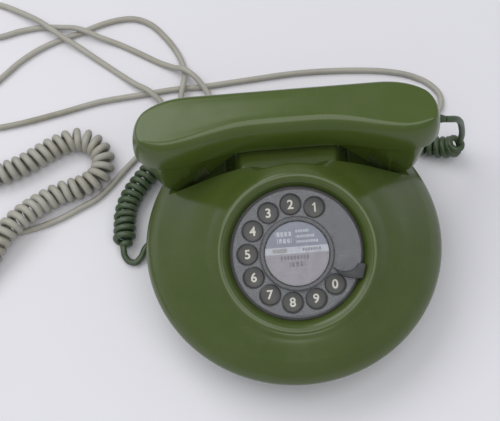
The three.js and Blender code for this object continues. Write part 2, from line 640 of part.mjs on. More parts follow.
// ---------------------------------------------------------------- handset cord
// Points are [x, y, z] of the middle of the cord; the cord lies on the table.
const HANDSET_TAIL_BASE = [
  [-87.3, 18.6, 7.8], [-91, 18.4, 6.9], [-95.2, 15.4, 5.4], [-98, 10.6, 3.8], [-102, 7.4, 2.6],
  [-106.4, 8.4, 3.2], [-108.8, 12, 5.4], [-109, 15.4, 7.4],
];
const HANDSET_COIL_ROUTE = [
  [-109, 16.6, 7.8], [-107.8, 28, 7.8], [-107, 40, 7.8], [-102.6, 52, 7.8], [-94.5, 63.5, 7.8],
  [-79, 79.5, 7.8], [-60, 92.5, 7.8], [-40, 100, 7.8], [-20, 104, 9.6], [2, 105, 13.2], [22, 103.6, 10.6],
  [42, 99, 7.8], [60, 92.5, 7.8], [78, 83, 7.8], [93, 74, 7.8], [106, 69.4, 9.2], [113, 68, 13],
  [115.6, 68, 19],
];
const HANDSET_TAIL_END = [
  [115.8, 68, 20.2], [115.6, 68, 30], [113.6, 67, 42], [111.6, 65.4, 51], [109, 63.4, 58.4],
  [106.4, 61.8, 63], [103.4, 60.6, 65.6], [99.5, 60, 67.35],
];
const cordGreen = plastic(DARK_GREEN, 0.45);
add('handset_cord_base', tube(HANDSET_TAIL_BASE, HANDSET_CORD, 12), cordGreen);
for (const [part, from, to] of [['left', 0, 0.36], ['back', 0.364, 0.72], ['right', 0.724, 1]]) {
  add(`handset_coil_${part}`, tube(stretch(HANDSET_COIL_ROUTE, from, to, 9), HANDSET_COIL, 9, 10), cordGreen);
}
add('handset_cord_end', tube(HANDSET_TAIL_END, HANDSET_CORD, 9), cordGreen);

// ---------------------------------------------------------------- line cord
const FLAT = 2.3; // height of the middle of the line cord where it lies on the table
const OVER = 7.2; // and where it passes over another stretch
const LINE_ROUTE = [
  [0, 91.2, 7.2], [0.1, 94.2, 6.1], [1.2, 98.5, 4.2], [4, 104, 2.6], [11, 112, FLAT], [28, 117.5, FLAT],
  [54, 114, FLAT], [76, 104, FLAT], [90, 98, FLAT], [101, 97, FLAT], [109, 102.6, FLAT],
  [110.4, 112.5, FLAT], [104.5, 122, FLAT], [93, 129.6, FLAT], [77, 134.6, FLAT], [55, 137.6, FLAT],
  [17, 139, FLAT], [-25, 136.2, FLAT], [-53, 134, FLAT], [-67, 134, FLAT], [-95, 131.4, FLAT],
  [-122.6, 128.6, FLAT], [-150.4, 122.2, FLAT], [-178, 116.6, FLAT], [-194, 114.6, FLAT],
  [-206, 114.4, FLAT], [-215, 120, FLAT], [-217, 130, FLAT], [-210, 139.4, FLAT], [-200, 146, FLAT],
  [-188.7, 156, FLAT], [-178.2, 165.6, FLAT], [-164.1, 174.9, FLAT], [-150, 181.1, FLAT],
  [-135.6, 185.5, FLAT], [-121.2, 190.9, FLAT], [-107, 194, FLAT], [-96.2, 193.6, FLAT],
  [-85.7, 188.4, FLAT], [-75.5, 176.6, FLAT], [-67, 161.8, FLAT], [-63.4, 149, 3.2], [-63, 141.5, 5.4],
  [-64.4, 134, 7.2], [-66.4, 126, 4.4], [-67, 118, FLAT], [-63, 110.6, FLAT], [-55.4, 108.4, FLAT],
  [-48.6, 112, FLAT], [-46, 119, FLAT], [-47.6, 126.6, 4.6], [-52.6, 134.6, 7.6], [-58, 140.4, 10.2],
  [-63.6, 145, 9.8], [-70, 149.6, 5], [-79.9, 155.7, FLAT], [-93.6, 164.6, FLAT], [-107.4, 173.2, FLAT],
  [-121.5, 179.6, 4.2], [-135.6, 186, OVER], [-149.8, 190.4, 4.2], [-164, 192.6, FLAT],
  [-178.3, 191, FLAT], [-193, 187.6, FLAT], [-205, 188.4, FLAT], [-213, 194, FLAT], [-215.8, 204, FLAT],
  [-211, 213, FLAT], [-202, 216.6, FLAT], [-192.8, 214.5, FLAT], [-178.4, 206, 4.2], [-163, 194.4, OVER],
  [-149.4, 182.4, OVER], [-136, 172.6, 4], [-122, 161, FLAT], [-108.2, 149, FLAT], [-97, 138.6, 4.6],
  [-88, 131.2, OVER], [-80.6, 123.4, 4], [-78.6, 114.6, FLAT], [-81, 105.6, FLAT], [-86.6, 97, FLAT],
  [-92, 89.6, FLAT], [-100, 82, FLAT], [-108.8, 72.8, FLAT], [-117, 63.4, FLAT], [-126.4, 55, FLAT],
  [-138, 49, FLAT], [-151, 42.6, FLAT], [-164.3, 38, FLAT], [-177, 35.4, FLAT], [-195, 34.6, FLAT],
  [-208, 37.5, FLAT], [-217, 46.5, FLAT], [-219.5, 58, FLAT], [-216, 68, 4.4], [-210.4, 72.8, 7],
  [-205.2, 74.4, 8.2],
];
const CURL = [
  [-204, 74.6, 8.2], [-190, 76, 8.2], [-173, 82, 8.2], [-153, 93, 8.2], [-138, 97.6, 8.2], [-126, 92, 8.2],
  [-120.4, 80, 8.2], [-124.4, 69, 8.2], [-135, 62.4, 8.2], [-149, 58.6, 8.2], [-163, 51, 9.4], [-174, 42, 12.6],
  [-182, 34, 13.6], [-190, 24, 12.4], [-198, 13, 9], [-204, 3, 8.2], [-208, -8, 8.2],
];
const LINE_LEAD = [[-208.3, -9, 8.2], [-209.4, -14, 7], [-209.6, -21, 4], [-208.4, -28, 2.8], [-207.2, -33.4, 2.4]];
const RING_PLACE = [-234, -54];
const RING_MIDDLE = 27; // radius to the middle of the put-away turns
const RING_LAYERS = 2; // turns beside each other, and on each other
const PLUG_X = -258;
const PLUG_START = -16;
const LINE_TAIL = [
  [-263.4, -37, 5.8], [-263.2, -31, 5.3], [-261.6, -26, 5], [-258.4, -20, 4.8], [PLUG_X, PLUG_START - 0.6, 4.8],
];
const cordGrey = plastic(GREY_CORD, 0.5);
const ringHalf = RING_LAYERS * LINE_CORD / 2;
add('line_cord_rear', tube(stretch(LINE_ROUTE, 0, 0.395, 38), LINE_CORD, 38), cordGrey);
add('line_cord_loops', tube(stretch(LINE_ROUTE, 0.396, 1, 64), LINE_CORD, 64), cordGrey);
add('line_cord_curl', tube(CURL, LINE_CURL, 22, 10), cordGrey);
add('line_cord_lead', tube(LINE_LEAD, LINE_CORD, 3), cordGrey);
add('line_cord_ring', ring(RING_MIDDLE - ringHalf, RING_MIDDLE + ringHalf, 0.2, 0.2 + 2 * ringHalf, 32)
  .translate(...RING_PLACE, 0), cordGrey);
add('line_cord_tail', tube(LINE_TAIL, LINE_CORD, 3), cordGrey);

// Plug on the end of the line cord, pointing along +Y, with its tapered sleeve and latch.
function linePlug() {
  const sleeve = cylinder(3, 0, 13, 0, 0, 14, 4.1).rotateX(-Math.PI / 2).translate(0, 0, 4.8);
  const body = box(13, 22, 8.4, 0, 23.4, 4.6);
  const nose = box(9.4, 8, 6, 0, 38, 4.6);
  const latch = union(box(1.4, 16, 4, -7.9, 26, 4.6), box(2, 3, 4, -7.2, 19.5, 4.6));
  const grooves = [-3, -1, 1, 3].map((x) => box(0.9, 7, 1.4, x, 38.8, 7.4));
  return cut(union(sleeve, body, nose, latch), ...grooves);
}

add('line_plug', linePlug().translate(PLUG_X, PLUG_START, 0), plastic(GREY_CORD, 0.4));

export default phone;
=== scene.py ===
"""Looks of the corded rotary-dial telephone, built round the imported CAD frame. Shapes are in millimetres."""
import math
import random

import bmesh
import bpy
import numpy as np
from mathutils import Matrix, Vector


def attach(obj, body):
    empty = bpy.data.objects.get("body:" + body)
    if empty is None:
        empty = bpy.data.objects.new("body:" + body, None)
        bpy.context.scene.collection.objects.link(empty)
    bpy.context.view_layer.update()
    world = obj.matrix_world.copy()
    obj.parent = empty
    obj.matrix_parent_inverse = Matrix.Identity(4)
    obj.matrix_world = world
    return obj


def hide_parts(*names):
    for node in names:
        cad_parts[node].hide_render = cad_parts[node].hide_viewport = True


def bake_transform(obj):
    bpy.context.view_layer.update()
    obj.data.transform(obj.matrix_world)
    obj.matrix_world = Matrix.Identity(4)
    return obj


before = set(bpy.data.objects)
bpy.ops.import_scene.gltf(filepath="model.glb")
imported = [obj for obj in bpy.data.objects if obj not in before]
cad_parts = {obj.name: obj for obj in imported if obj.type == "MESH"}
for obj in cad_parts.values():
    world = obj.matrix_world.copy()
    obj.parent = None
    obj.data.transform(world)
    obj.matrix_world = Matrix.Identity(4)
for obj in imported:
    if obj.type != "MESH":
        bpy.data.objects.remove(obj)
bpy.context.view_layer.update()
MM = 0.001
SAME_POINT = 1e-6
rng = random.Random(7)


def put_in_scene(name, data):
    made = bpy.data.objects.new(name, data)
    bpy.context.scene.collection.objects.link(made)
    return made


# ------ camera
CAMERA_TARGET = Vector((-25.4, 18.8, 45.0)) * MM
CAMERA_ELEVATION = math.radians(66)
CAMERA_ROLL = math.radians(-4.55)
CAMERA_DISTANCE = 0.75
SENSOR_WIDTH = 36
FOCAL_LENGTH = 86.98

backward = Vector((0, -math.cos(CAMERA_ELEVATION), math.sin(CAMERA_ELEVATION)))
level_right = Vector((1, 0, 0))
level_up = Vector((0, math.sin(CAMERA_ELEVATION), math.cos(CAMERA_ELEVATION)))
right = math.cos(CAMERA_ROLL) * level_right + math.sin(CAMERA_ROLL) * level_up
up = math.cos(CAMERA_ROLL) * level_up - math.sin(CAMERA_ROLL) * level_right
camera_data = bpy.data.cameras.new("camera")
camera_data.sensor_width = SENSOR_WIDTH
camera_data.lens = FOCAL_LENGTH
axes = Matrix((right, up, backward)).transposed().to_4x4()
camera = put_in_scene("camera", camera_data)
camera.matrix_world = Matrix.Translation(CAMERA_TARGET + backward * CAMERA_DISTANCE) @ axes
bpy.context.scene.camera = camera

# ------ meshes
DIAL_TILT = math.radians(24.5)
DIAL_CENTRE = Vector((0, -24, 74))
ALONG_X = Matrix.Rotation(math.pi / 2, 4, "Y")
DIAL_PLACE = Matrix.Translation(DIAL_CENTRE * MM) @ Matrix.Rotation(DIAL_TILT, 4, "X")


def mesh_of(name, points, faces):
    """A mesh from points in millimetres."""
    mesh = bpy.data.meshes.new(name)
    mesh.from_pydata((np.asarray(points, float) * MM).tolist(), [], faces)
    return mesh


def clean(mesh):
    """Joins points that coincide and turns the faces outward."""
    work = bmesh.new()
    work.from_mesh(mesh)
    bmesh.ops.remove_doubles(work, verts=work.verts, dist=SAME_POINT)
    bmesh.ops.recalc_face_normals(work, faces=work.faces)
    work.to_mesh(mesh)
    work.free()


def build(name, points, faces, material, body, slot, replaces=(), place=None):
    """A finished piece from points in millimetres."""
    return finish_mesh(mesh_of(name, points, faces), name, material, body, replaces, place)


def finish_mesh(mesh, name, material, body, replaces=(), place=None, sharp=40):
    """A piece that rides on a CAD body, smooth except over edges sharper than sharp degrees."""
    clean(mesh)
    mesh.shade_smooth()
    mesh.set_sharp_from_angle(angle=math.radians(sharp))
    mesh.materials.clear()
    mesh.materials.append(material)
    piece = put_in_scene(name, mesh)
    if place is not None:
        piece.matrix_world = place
    if body:
        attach(piece, body)
    if replaces:
        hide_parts(*replaces)
    return piece


def combine(*parts):
    """Several (points, faces) in one."""
    points, faces = [], []
    for some_points, some_faces in parts:
        start = len(points)
        points.extend(np.asarray(some_points, float).tolist())
        faces.extend([[start + i for i in face] for face in some_faces])
    return points, faces


def loft(rings, caps=(True, True), looped=False):
    """Surface through rings of equally many points."""
    count = len(rings[0])
    points = np.concatenate([np.asarray(r, float) for r in rings])
    faces = []
    last = len(rings) if looped else len(rings) - 1
    for i in range(last):
        a, b = i * count, (i + 1) % len(rings) * count
        for j in range(count):
            k = (j + 1) % count
            faces.append([a + j, a + k, b + k, b + j])
    if caps[0]:
        faces.append(list(range(count))[::-1])
    if caps[1]:
        faces.append([(len(rings) - 1) * count + j for j in range(count)])
    return points, faces


def smooth(rings, steps):
    """More rings between the given ones, on curves through them."""
    rings = [np.asarray(r, float) for r in rings]
    knots = [0.0]
    for a, b in zip(rings, rings[1:]):
        knots.append(knots[-1] + max(np.linalg.norm(b - a, axis=-1).mean(), 1e-3) ** 0.6)
    slopes = []
    for i in range(len(rings)):
        lo, hi = max(i - 1, 0), min(i + 1, len(rings) - 1)
        if lo < i < hi:
            before = (rings[i] - rings[lo]) / (knots[i] - knots[lo])
            after = (rings[hi] - rings[i]) / (knots[hi] - knots[i])
            share = (knots[i] - knots[lo]) / (knots[hi] - knots[lo])
            slopes.append(before * (1 - share) + after * share)
        else:
            slopes.append((rings[hi] - rings[lo]) / (knots[hi] - knots[lo]))
    made = []
    for i in range(len(rings) - 1):
        span = knots[i + 1] - knots[i]
        for s in range(steps):
            t = s / steps
            made.append(
                (2 * t**3 - 3 * t**2 + 1) * rings[i]
                + (t**3 - 2 * t**2 + t) * span * slopes[i]
                + (3 * t**2 - 2 * t**3) * rings[i + 1]
                + (t**3 - t**2) * span * slopes[i + 1]
            )
    return made + [rings[-1]]


def circle(radius, height, count, centre=(0, 0)):
    """A level ring of points."""
    a = 2 * math.pi * np.arange(count) / count
    x = centre[0] + radius * np.cos(a)
    y = centre[1] + radius * np.sin(a)
    return np.stack([x, y, np.full(count, float(height))], 1)


def circles(profile, count, centre):
    """Rings for a profile of radii and heights; a radius of 0 is kept just open."""
    return [circle(max(r, 1e-4), z, count, centre) for r, z in profile]


def lathe(profile, count=64, centre=(0, 0)):
    """A filled solid turned from an open profile."""
    return loft(circles(profile, count, centre))


def turned_ring(outline, count, centre=(0, 0)):
    """A ring turned from a closed outline."""
    return loft(circles(outline, count, centre), (False, False), True)


def rounded(corners, radius):
    """A closed outline of radii and heights with its corners rounded off."""
    steps = 3
    made = []
    corners = [np.array(c, float) for c in corners]
    for i, corner in enumerate(corners):
        before = corners[i - 1] - corner
        after = corners[(i + 1) % len(corners)] - corner
        cut = min(radius, 0.45 * np.linalg.norm(before), 0.45 * np.linalg.norm(after))
        a = corner + before / np.linalg.norm(before) * cut
        b = corner + after / np.linalg.norm(after) * cut
        for s in range(steps + 1):
            t = s / steps
            made.append((1 - t) ** 2 * a + 2 * t * (1 - t) * corner + t**2 * b)
    return made


def moved(shape, matrix):
    """A shape's points and faces in another place."""
    points, faces = shape
    m = np.array(matrix)
    return np.asarray(points, float) @ m[:3, :3].T + m[:3, 3], faces


def rounded_box(width, depth, height, x, y, z, bevel):
    """A box with rounded edges, centred at x, y, z."""
    steps = 3
    x0, x1 = x - width / 2, x + width / 2
    y0, y1 = y - depth / 2, y + depth / 2
    rings = []
    for k in range(2 * steps + 2):
        low = k <= steps
        a = math.pi / 2 * ((k if low else k - 1) / steps - 1)
        inset = bevel * (1 - math.cos(a))
        level = z + (-height / 2 + bevel if low else height / 2 - bevel) + bevel * math.sin(a)
        rings.append(slab(x0, x1, y0, y1, bevel, level, inset, steps))
    return loft(rings)


def slab(x0, x1, y0, y1, radius, z, inset=0.0, per_corner=8):
    """Rounded rectangle at one height."""
    x0, x1, y0, y1 = x0 + inset, x1 - inset, y0 + inset, y1 - inset
    radius = max(radius - inset, 0.15)
    made = []
    for cx, cy, start in ((x1 - radius, y1 - radius, 0), (x0 + radius, y1 - radius, 90),
                          (x0 + radius, y0 + radius, 180), (x1 - radius, y0 + radius, 270)):
        for k in range(per_corner + 1):
            a = math.radians(start + 90 * k / per_corner)
            made.append((cx + radius * math.cos(a), cy + radius * math.sin(a), z))
    return np.array(made)


def evaluated_mesh(piece):
    """The mesh of a piece with its modifiers, or of a filled curve."""
    bpy.context.view_layer.update()
    shaped = piece.evaluated_get(bpy.context.evaluated_depsgraph_get())
    return bpy.data.meshes.new_from_object(shaped)


def boolean(piece, other, operation):
    """Cuts or joins piece with other, which then goes."""
    change = piece.modifiers.new("change", "BOOLEAN")
    change.operation = operation
    change.solver = "EXACT"
    change.object = other
    result = evaluated_mesh(piece)
    piece.modifiers.clear()
    piece.data = result
    bpy.data.objects.remove(other)
    return piece


def loose(shape):
    """A plain object for a boolean."""
    mesh = mesh_of("tool", *shape)
    clean(mesh)
    return put_in_scene("tool", mesh)


def cut(piece, shape):
    return boolean(piece, loose(shape), "DIFFERENCE")


def join(piece, shape):
    return boolean(piece, loose(shape), "UNION")


def settle(piece, name, material, body, replaces, sharp=35):
    """A finished piece from the object of a boolean."""
    mesh = piece.data
    bpy.data.objects.remove(piece)
    return finish_mesh(mesh, name, material, body, replaces, None, sharp)


# ------ materials
# outputs of the texture coordinate node and the geometry node
OBJECT = 3
NORMAL = 1
POINTINESS = 7


class Paint:
    """A material being made. add() makes a node and sets or links its sockets."""

    def __init__(self, name):
        self.material = bpy.data.materials.new(name)
        self.material.use_nodes = True
        self.tree = self.material.node_tree
        self.tree.nodes.clear()

    def add(self, kind, inputs=None, out=0, **settings):
        node = self.tree.nodes.new("ShaderNode" + kind)
        for key, value in settings.items():
            setattr(node, key, value)
        for key, value in (inputs or {}).items():
            if isinstance(value, bpy.types.NodeSocket):
                self.tree.links.new(value, node.inputs[key])
            else:
                node.inputs[key].default_value = value
        return node.outputs[out]

    def math(self, operation, a, b=0.0, c=0.0):
        return self.add("Math", {0: a, 1: b, 2: c}, operation=operation)

    def times(self, a, b):
        return self.math("MULTIPLY", a, b)

    def noise(self, where, scale, detail=3.0, rough=0.55):
        return self.add("TexNoise", {"Vector": where, "Scale": scale, "Detail": detail, "Roughness": rough})

    def span(self, value, low, high, to_low=0.0, to_high=1.0):
        return self.add("MapRange", {"Value": value, "From Min": low, "From Max": high,
                                     "To Min": to_low, "To Max": to_high})

    def mix(self, fac, a, b):
        return self.add("Mix", {0: fac, 6: a, 7: b}, out=2, data_type="RGBA")

    def output(self, shader):
        end = self.tree.nodes.new("ShaderNodeOutputMaterial")
        self.tree.links.new(shader, end.inputs["Surface"])
        return self.material


def shade(colour, factor):
    return tuple(min(1.0, c * factor) for c in colour[:3]) + (1.0,)


DUST_COLOUR = (0.30, 0.29, 0.27, 1.0)


def finish_of(name, colour, roughness, metallic=0.0, variation=0.1, grain=0.00002, grain_scale=1800.0,
              scratches=0.25, dust=0.12, wear=0.2, stretch=(1.0, 1.0, 1.0), stain=None):
    """A used plastic, rubber or metal: uneven colour, fine grain, scratches, worn edges and a little dust."""
    p = Paint(name)
    where = p.add("TexCoord", out=OBJECT)
    along = p.add("Mapping", {"Vector": where, "Scale": stretch})
    cloud = p.noise(along, 28.0, 4.0)
    fleck = p.noise(where, 950.0, 2.0)
    base = p.mix(p.span(cloud, 0.3, 0.7), shade(colour, 1 - variation), shade(colour, 1 + variation))
    base = p.mix(p.times(p.span(fleck, 0.62, 0.75), 0.12), base, shade(colour, 1.6))
    if stain:
        blot = p.span(p.noise(along, 14.0, 5.0, 0.65), 0.5, 0.68)
        base = p.mix(p.times(blot, 0.7), base, stain)
    one_way = p.add("Mapping", {"Vector": where, "Rotation": (0.3, 0.2, 0.7), "Scale": (30.0, 900.0, 300.0)})
    lines = p.span(p.noise(one_way, 1.0, 2.0, 0.4), 0.70, 0.74)
    other = p.add("Mapping", {"Vector": where, "Rotation": (0.1, 0.5, -0.9), "Scale": (700.0, 22.0, 260.0)})
    lines = p.math("MAXIMUM", lines, p.span(p.noise(other, 1.0, 2.0, 0.4), 0.71, 0.75))
    lines = p.times(lines, p.span(p.noise(where, 60.0, 2.0), 0.45, 0.65))
    lines = p.times(lines, scratches)
    edge = p.span(p.add("NewGeometry", out=POINTINESS), 0.53, 0.62)
    edge = p.times(edge, p.span(p.noise(where, 210.0, 4.0), 0.35, 0.7))
    base = p.mix(p.times(edge, wear), base, shade(colour, 2.2))
    base = p.mix(p.times(lines, 0.3), base, shade(colour, 1.9))
    facing = p.add("SeparateXYZ", {0: p.add("NewGeometry", out=NORMAL)}, out=2)
    film = p.times(p.span(facing, 0.2, 0.95), p.span(p.noise(where, 44.0, 5.0, 0.7), 0.42, 0.72))
    film = p.times(film, dust)
    base = p.mix(film, base, DUST_COLOUR)
    shine = p.span(p.noise(where, 70.0, 3.0), 0.3, 0.7, roughness * 0.85, roughness * 1.2)
    shine = p.math("ADD", shine, p.times(p.math("ADD", lines, film), 0.6))
    height = p.math("ADD", p.noise(where, grain_scale, 3.0), p.times(lines, -1.0))
    bump = p.add("Bump", {"Strength": 1.0, "Distance": grain, "Height": height})
    shader = p.add("BsdfPrincipled", {
        "Base Color": base, "Roughness": shine, "Metallic": metallic, "Normal": bump})
    return p.output(shader)


def see_through(name, tint, milk, share, roughness):
    """Clear plastic: part of the light passes straight through, the rest is seen on a milky, glossy skin."""
    p = Paint(name)
    where = p.add("TexCoord", out=OBJECT)
    haze = p.noise(where, 120.0, 4.0, 0.6)
    rub = p.add("Mapping", {"Vector": where, "Rotation": (0.0, 0.0, 0.5), "Scale": (60.0, 1500.0, 400.0)})
    lines = p.times(p.span(p.noise(rub, 1.0, 2.0, 0.4), 0.66, 0.74), 0.35)
    skin = p.add("BsdfPrincipled", {
        "Base Color": p.mix(haze, shade(milk, 0.9), shade(milk, 1.1)),
        "Roughness": p.math("ADD", p.span(haze, 0.3, 0.7, roughness * 0.8, roughness * 1.3), lines),
        "Normal": p.add("Bump", {"Strength": 1.0, "Distance": 0.00001, "Height": haze}), "IOR": 1.49,
        "Coat Weight": 0.3})
    clear = p.add("BsdfTransparent", {"Color": tint})
    grazing = p.add("LayerWeight", {"Blend": 0.25}, out=0)
    solid = p.span(haze, 0.2, 0.8, share - 0.05, share + 0.06)
    solid = p.math("ADD", p.times(grazing, 0.35), solid)
    solid = p.math("ADD", solid, p.times(lines, 0.3))
    return p.output(p.add("MixShader", {0: solid, 1: clear, 2: skin}))


CASE = finish_of("case_gloss", (0.056, 0.084, 0.015), 0.20, variation=0.05, dust=0.05, grain=0.000004)
HANDSET = finish_of("handset_satin", (0.060, 0.092, 0.014), 0.20, variation=0.05, dust=0.04, grain=0.000004,
                    grain_scale=2600.0)
CORD_GREEN = finish_of("cord_green", (0.044, 0.074, 0.030), 0.38, variation=0.16, dust=0.3, scratches=0.1,
                       grain=0.00003)
CORD_GREY = finish_of("cord_grey", (0.37, 0.36, 0.31), 0.48, variation=0.12, dust=0.2, scratches=0.15,
                      grain=0.00003, stain=(0.23, 0.21, 0.15, 1.0))
DIAL_CLEAR = see_through("dial_clear", (0.72, 0.74, 0.78, 1.0), (0.235, 0.237, 0.252), 0.44, 0.14)
COVER_CLEAR = see_through("cover_clear", (0.93, 0.94, 0.96, 1.0), (0.34, 0.35, 0.37), 0.12, 0.08)
RING_SMOKED = see_through("ring_smoked", (0.60, 0.61, 0.64, 1.0), (0.145, 0.147, 0.155), 0.55, 0.2)
PLATE = finish_of("plate_grey", (0.085, 0.083, 0.080), 0.5, variation=0.1, dust=0.2)
NUMBER_DISC = finish_of("number_disc", (0.078, 0.076, 0.074), 0.42, variation=0.12, dust=0.1)
NUMERAL = finish_of("numeral_cream", (0.74, 0.72, 0.62), 0.5, variation=0.05, dust=0.05, scratches=0.2)
STOP = finish_of("stop_metal", (0.017, 0.022, 0.024), 0.42, metallic=0.25, variation=0.15, wear=0.3,
                 scratches=0.4)
DARK = finish_of("dark_plastic", (0.028, 0.030, 0.030), 0.45, variation=0.15, dust=0.2)
RUBBER = finish_of("foot_rubber", (0.016, 0.016, 0.017), 0.8, variation=0.2, dust=0.5, grain=0.00006,
                   scratches=0.1)
STEEL = finish_of("steel", (0.46, 0.47, 0.48), 0.32, metallic=1.0, variation=0.12, scratches=0.6, dust=0.1,
                  stretch=(1.0, 8.0, 1.0), stain=(0.30, 0.27, 0.23, 1.0))
BRASS = finish_of("brass", (0.58, 0.42, 0.17), 0.3, metallic=1.0, variation=0.14, scratches=0.5, dust=0.1,
                  stain=(0.25, 0.15, 0.06, 1.0))
BOARD = finish_of("board_resin", (0.22, 0.13, 0.05), 0.45, variation=0.22, dust=0.3, stretch=(1.0, 6.0, 1.0))
IVORY = finish_of("ivory_plastic", (0.62, 0.58, 0.45), 0.42, variation=0.08, dust=0.2)
WINDING = finish_of("varnished_wire", (0.20, 0.065, 0.025), 0.35, variation=0.25, dust=0.2,
                    stretch=(1.0, 1.0, 40.0))
TIN = finish_of("tinned_can", (0.40, 0.42, 0.44), 0.3, metallic=0.9, variation=0.1, dust=0.2)


def printed_label():
    """Paper disc: blue-grey above, a white band, pinkish below, and unreadable blocks of print."""
    p = Paint("printed_label")
    where = p.add("VectorMath", {0: p.add("TexCoord", out=OBJECT), 1: (1 / MM,) * 3}, operation="MULTIPLY")
    x = p.add("SeparateXYZ", {0: where}, out=0)
    y = p.add("SeparateXYZ", {0: where}, out=1)
    fibre = p.noise(where, 2.2, 5.0, 0.7)
    worn = p.noise(where, 0.28, 4.0, 0.6)
    upper = p.mix(fibre, (0.36, 0.37, 0.42, 1.0), (0.46, 0.47, 0.53, 1.0))
    lower = p.mix(worn, (0.50, 0.44, 0.44, 1.0), (0.64, 0.58, 0.58, 1.0))
    white = p.mix(fibre, (0.86, 0.85, 0.86, 1.0), (0.97, 0.96, 0.97, 1.0))
    colour = p.mix(p.math("GREATER_THAN", y, 0.4), lower, upper)
    colour = p.mix(p.math("COMPARE", y, 2.2, 2.0), colour, white)

    def print_row(centre, half, from_x, to_x, pitch, phase):
        """1 where a row of blocks is printed: its middle, half height, two ends, pitch and phase."""
        row = p.math("COMPARE", y, centre, half)
        middle, width = (from_x + to_x) / 2, (to_x - from_x) / 2
        row = p.times(row, p.math("COMPARE", x, middle, width))
        cells = p.math("FRACT", p.math("ADD", p.math("DIVIDE", x, pitch), phase))
        row = p.times(row, p.math("GREATER_THAN", cells, 0.28))
        shifted = p.add("VectorMath", {0: where, 1: (phase * 9, 0.0, 0.0)}, operation="ADD")
        marks = p.add("TexNoise", {"Vector": shifted, "Scale": 1.1, "Detail": 1.0})
        return p.times(row, p.math("GREATER_THAN", marks, 0.36))

    for light_row in ((11.8, 1.35, -12.0, -2.2, 2.3, 0.1), (7.9, 1.35, -11.0, -2.6, 2.3, 0.6),
                      (13.2, 0.8, -0.2, 7.8, 1.5, 0.3), (10.1, 0.8, 0.0, 10.8, 1.5, 0.8),
                      (7.0, 0.8, 0.2, 13.0, 1.5, 0.5)):
        colour = p.mix(print_row(*light_row), colour, white)
    dark = p.mix(fibre, (0.13, 0.12, 0.12, 1.0), (0.22, 0.20, 0.20, 1.0))
    for dark_row in ((2.3, 0.85, 3.0, 14.5, 1.6, 0.2), (-2.2, 1.1, -10.0, 7.0, 1.9, 0.4),
                     (-6.2, 1.4, -4.8, 4.4, 2.5, 0.7)):
        colour = p.mix(p.times(print_row(*dark_row), 0.7), colour, dark)
    patch = p.times(p.math("COMPARE", y, 2.2, 1.2), p.math("COMPARE", x, -10.0, 4.2))
    colour = p.mix(p.times(patch, 0.6), colour, (0.36, 0.29, 0.20, 1.0))
    colour = p.mix(p.times(p.span(worn, 0.55, 0.7), 0.35), colour, (0.34, 0.30, 0.25, 1.0))
    bump = p.add("Bump", {"Strength": 1.0, "Distance": 0.00003, "Height": fibre})
    return p.output(p.add("BsdfPrincipled", {"Base Color": colour, "Roughness": 0.62, "Normal": bump}))


LABEL = printed_label()

# ------ cords
HANDSET_CORD = 4.2
HANDSET_HELIX = 5.4
HANDSET_PITCH = 5.0
HANDSET_COIL_LEVEL = 7.8
LINE_CORD = 4.0
LINE_CURL_CORD = 4.9
LINE_HELIX = 5.6
LINE_PITCH = 6.2
CURL_LEVEL = 8.2
# the line cord's middle where it lies on the table, and where it crosses over another stretch
FLAT = 2.3
OVER = 7.2


def eased(t):
    """From 0 to 1 with a level start and end."""
    return t * t * (3 - 2 * t)


def curve_through(points, step):
    """Points evenly spaced on a smooth curve through the given ones."""
    fine = np.array(smooth([np.asarray(p, float)[None, :] for p in points], 24))[:, 0, :]
    gone = np.concatenate([[0.0], np.cumsum(np.linalg.norm(np.diff(fine, axis=0), axis=1))])
    count = max(int(round(gone[-1] / step)), 2)
    at = np.linspace(0, gone[-1], count + 1)
    return np.stack([np.interp(at, gone, fine[:, k]) for k in range(3)], 1)


def carried_frames(line):
    """Two directions across the line at each point, turned as little as possible from point to point."""
    tangents = np.gradient(line, axis=0)
    tangents /= np.linalg.norm(tangents, axis=1)[:, None]
    side = np.cross(tangents[0], (0.0, 0.0, 1.0))
    if np.linalg.norm(side) < 0.2:
        side = np.cross(tangents[0], (1.0, 0.0, 0.0))
    sides = []
    for tangent in tangents:
        side = side - tangent * (side @ tangent)
        side = side / np.linalg.norm(side)
        sides.append(side)
    sides = np.array(sides)
    return sides, np.cross(tangents, sides)


def coiled(route, radius, pitch, per_turn, ease, phase=0.0, unevenness=0.0):
    """The line of a cord wound round a route. Its turns grow and shrink over ease millimetres at the ends."""
    step = pitch / per_turn
    middle = curve_through(route, step)
    sides, ups = carried_frames(middle)
    gone = np.arange(len(middle)) * step
    wander = np.zeros(len(middle))
    for k in range(6):
        wander += np.sin(gone / rng.uniform(7, 30) + rng.uniform(0, 6.28)) / 6
    turn = phase + 2 * math.pi * gone / pitch + unevenness * wander * 2.2
    left = gone[-1] - gone
    grown = eased(np.clip(np.minimum(gone, left) / ease, 0, 1))
    width = radius * grown * (1 + 0.05 * unevenness * np.roll(wander, 40))
    return middle + sides * (np.cos(turn) * width)[:, None] + ups * (np.sin(turn) * width)[:, None]


def swept(line, radius):
    """A round tube along a line, closed at both ends."""
    sides = 10
    across, over = carried_frames(line)
    a = 2 * math.pi * np.arange(sides) / sides
    radii = np.broadcast_to(radius, len(line))
    rings = [line[i] + radii[i] * (np.outer(np.cos(a), across[i]) + np.outer(np.sin(a), over[i]))
             for i in range(len(line))]
    return loft(rings)


def with_heights(level, points):
    """Points of a route, where those given without a height lie at level."""
    return [point if len(point) == 3 else (*point, level) for point in points]


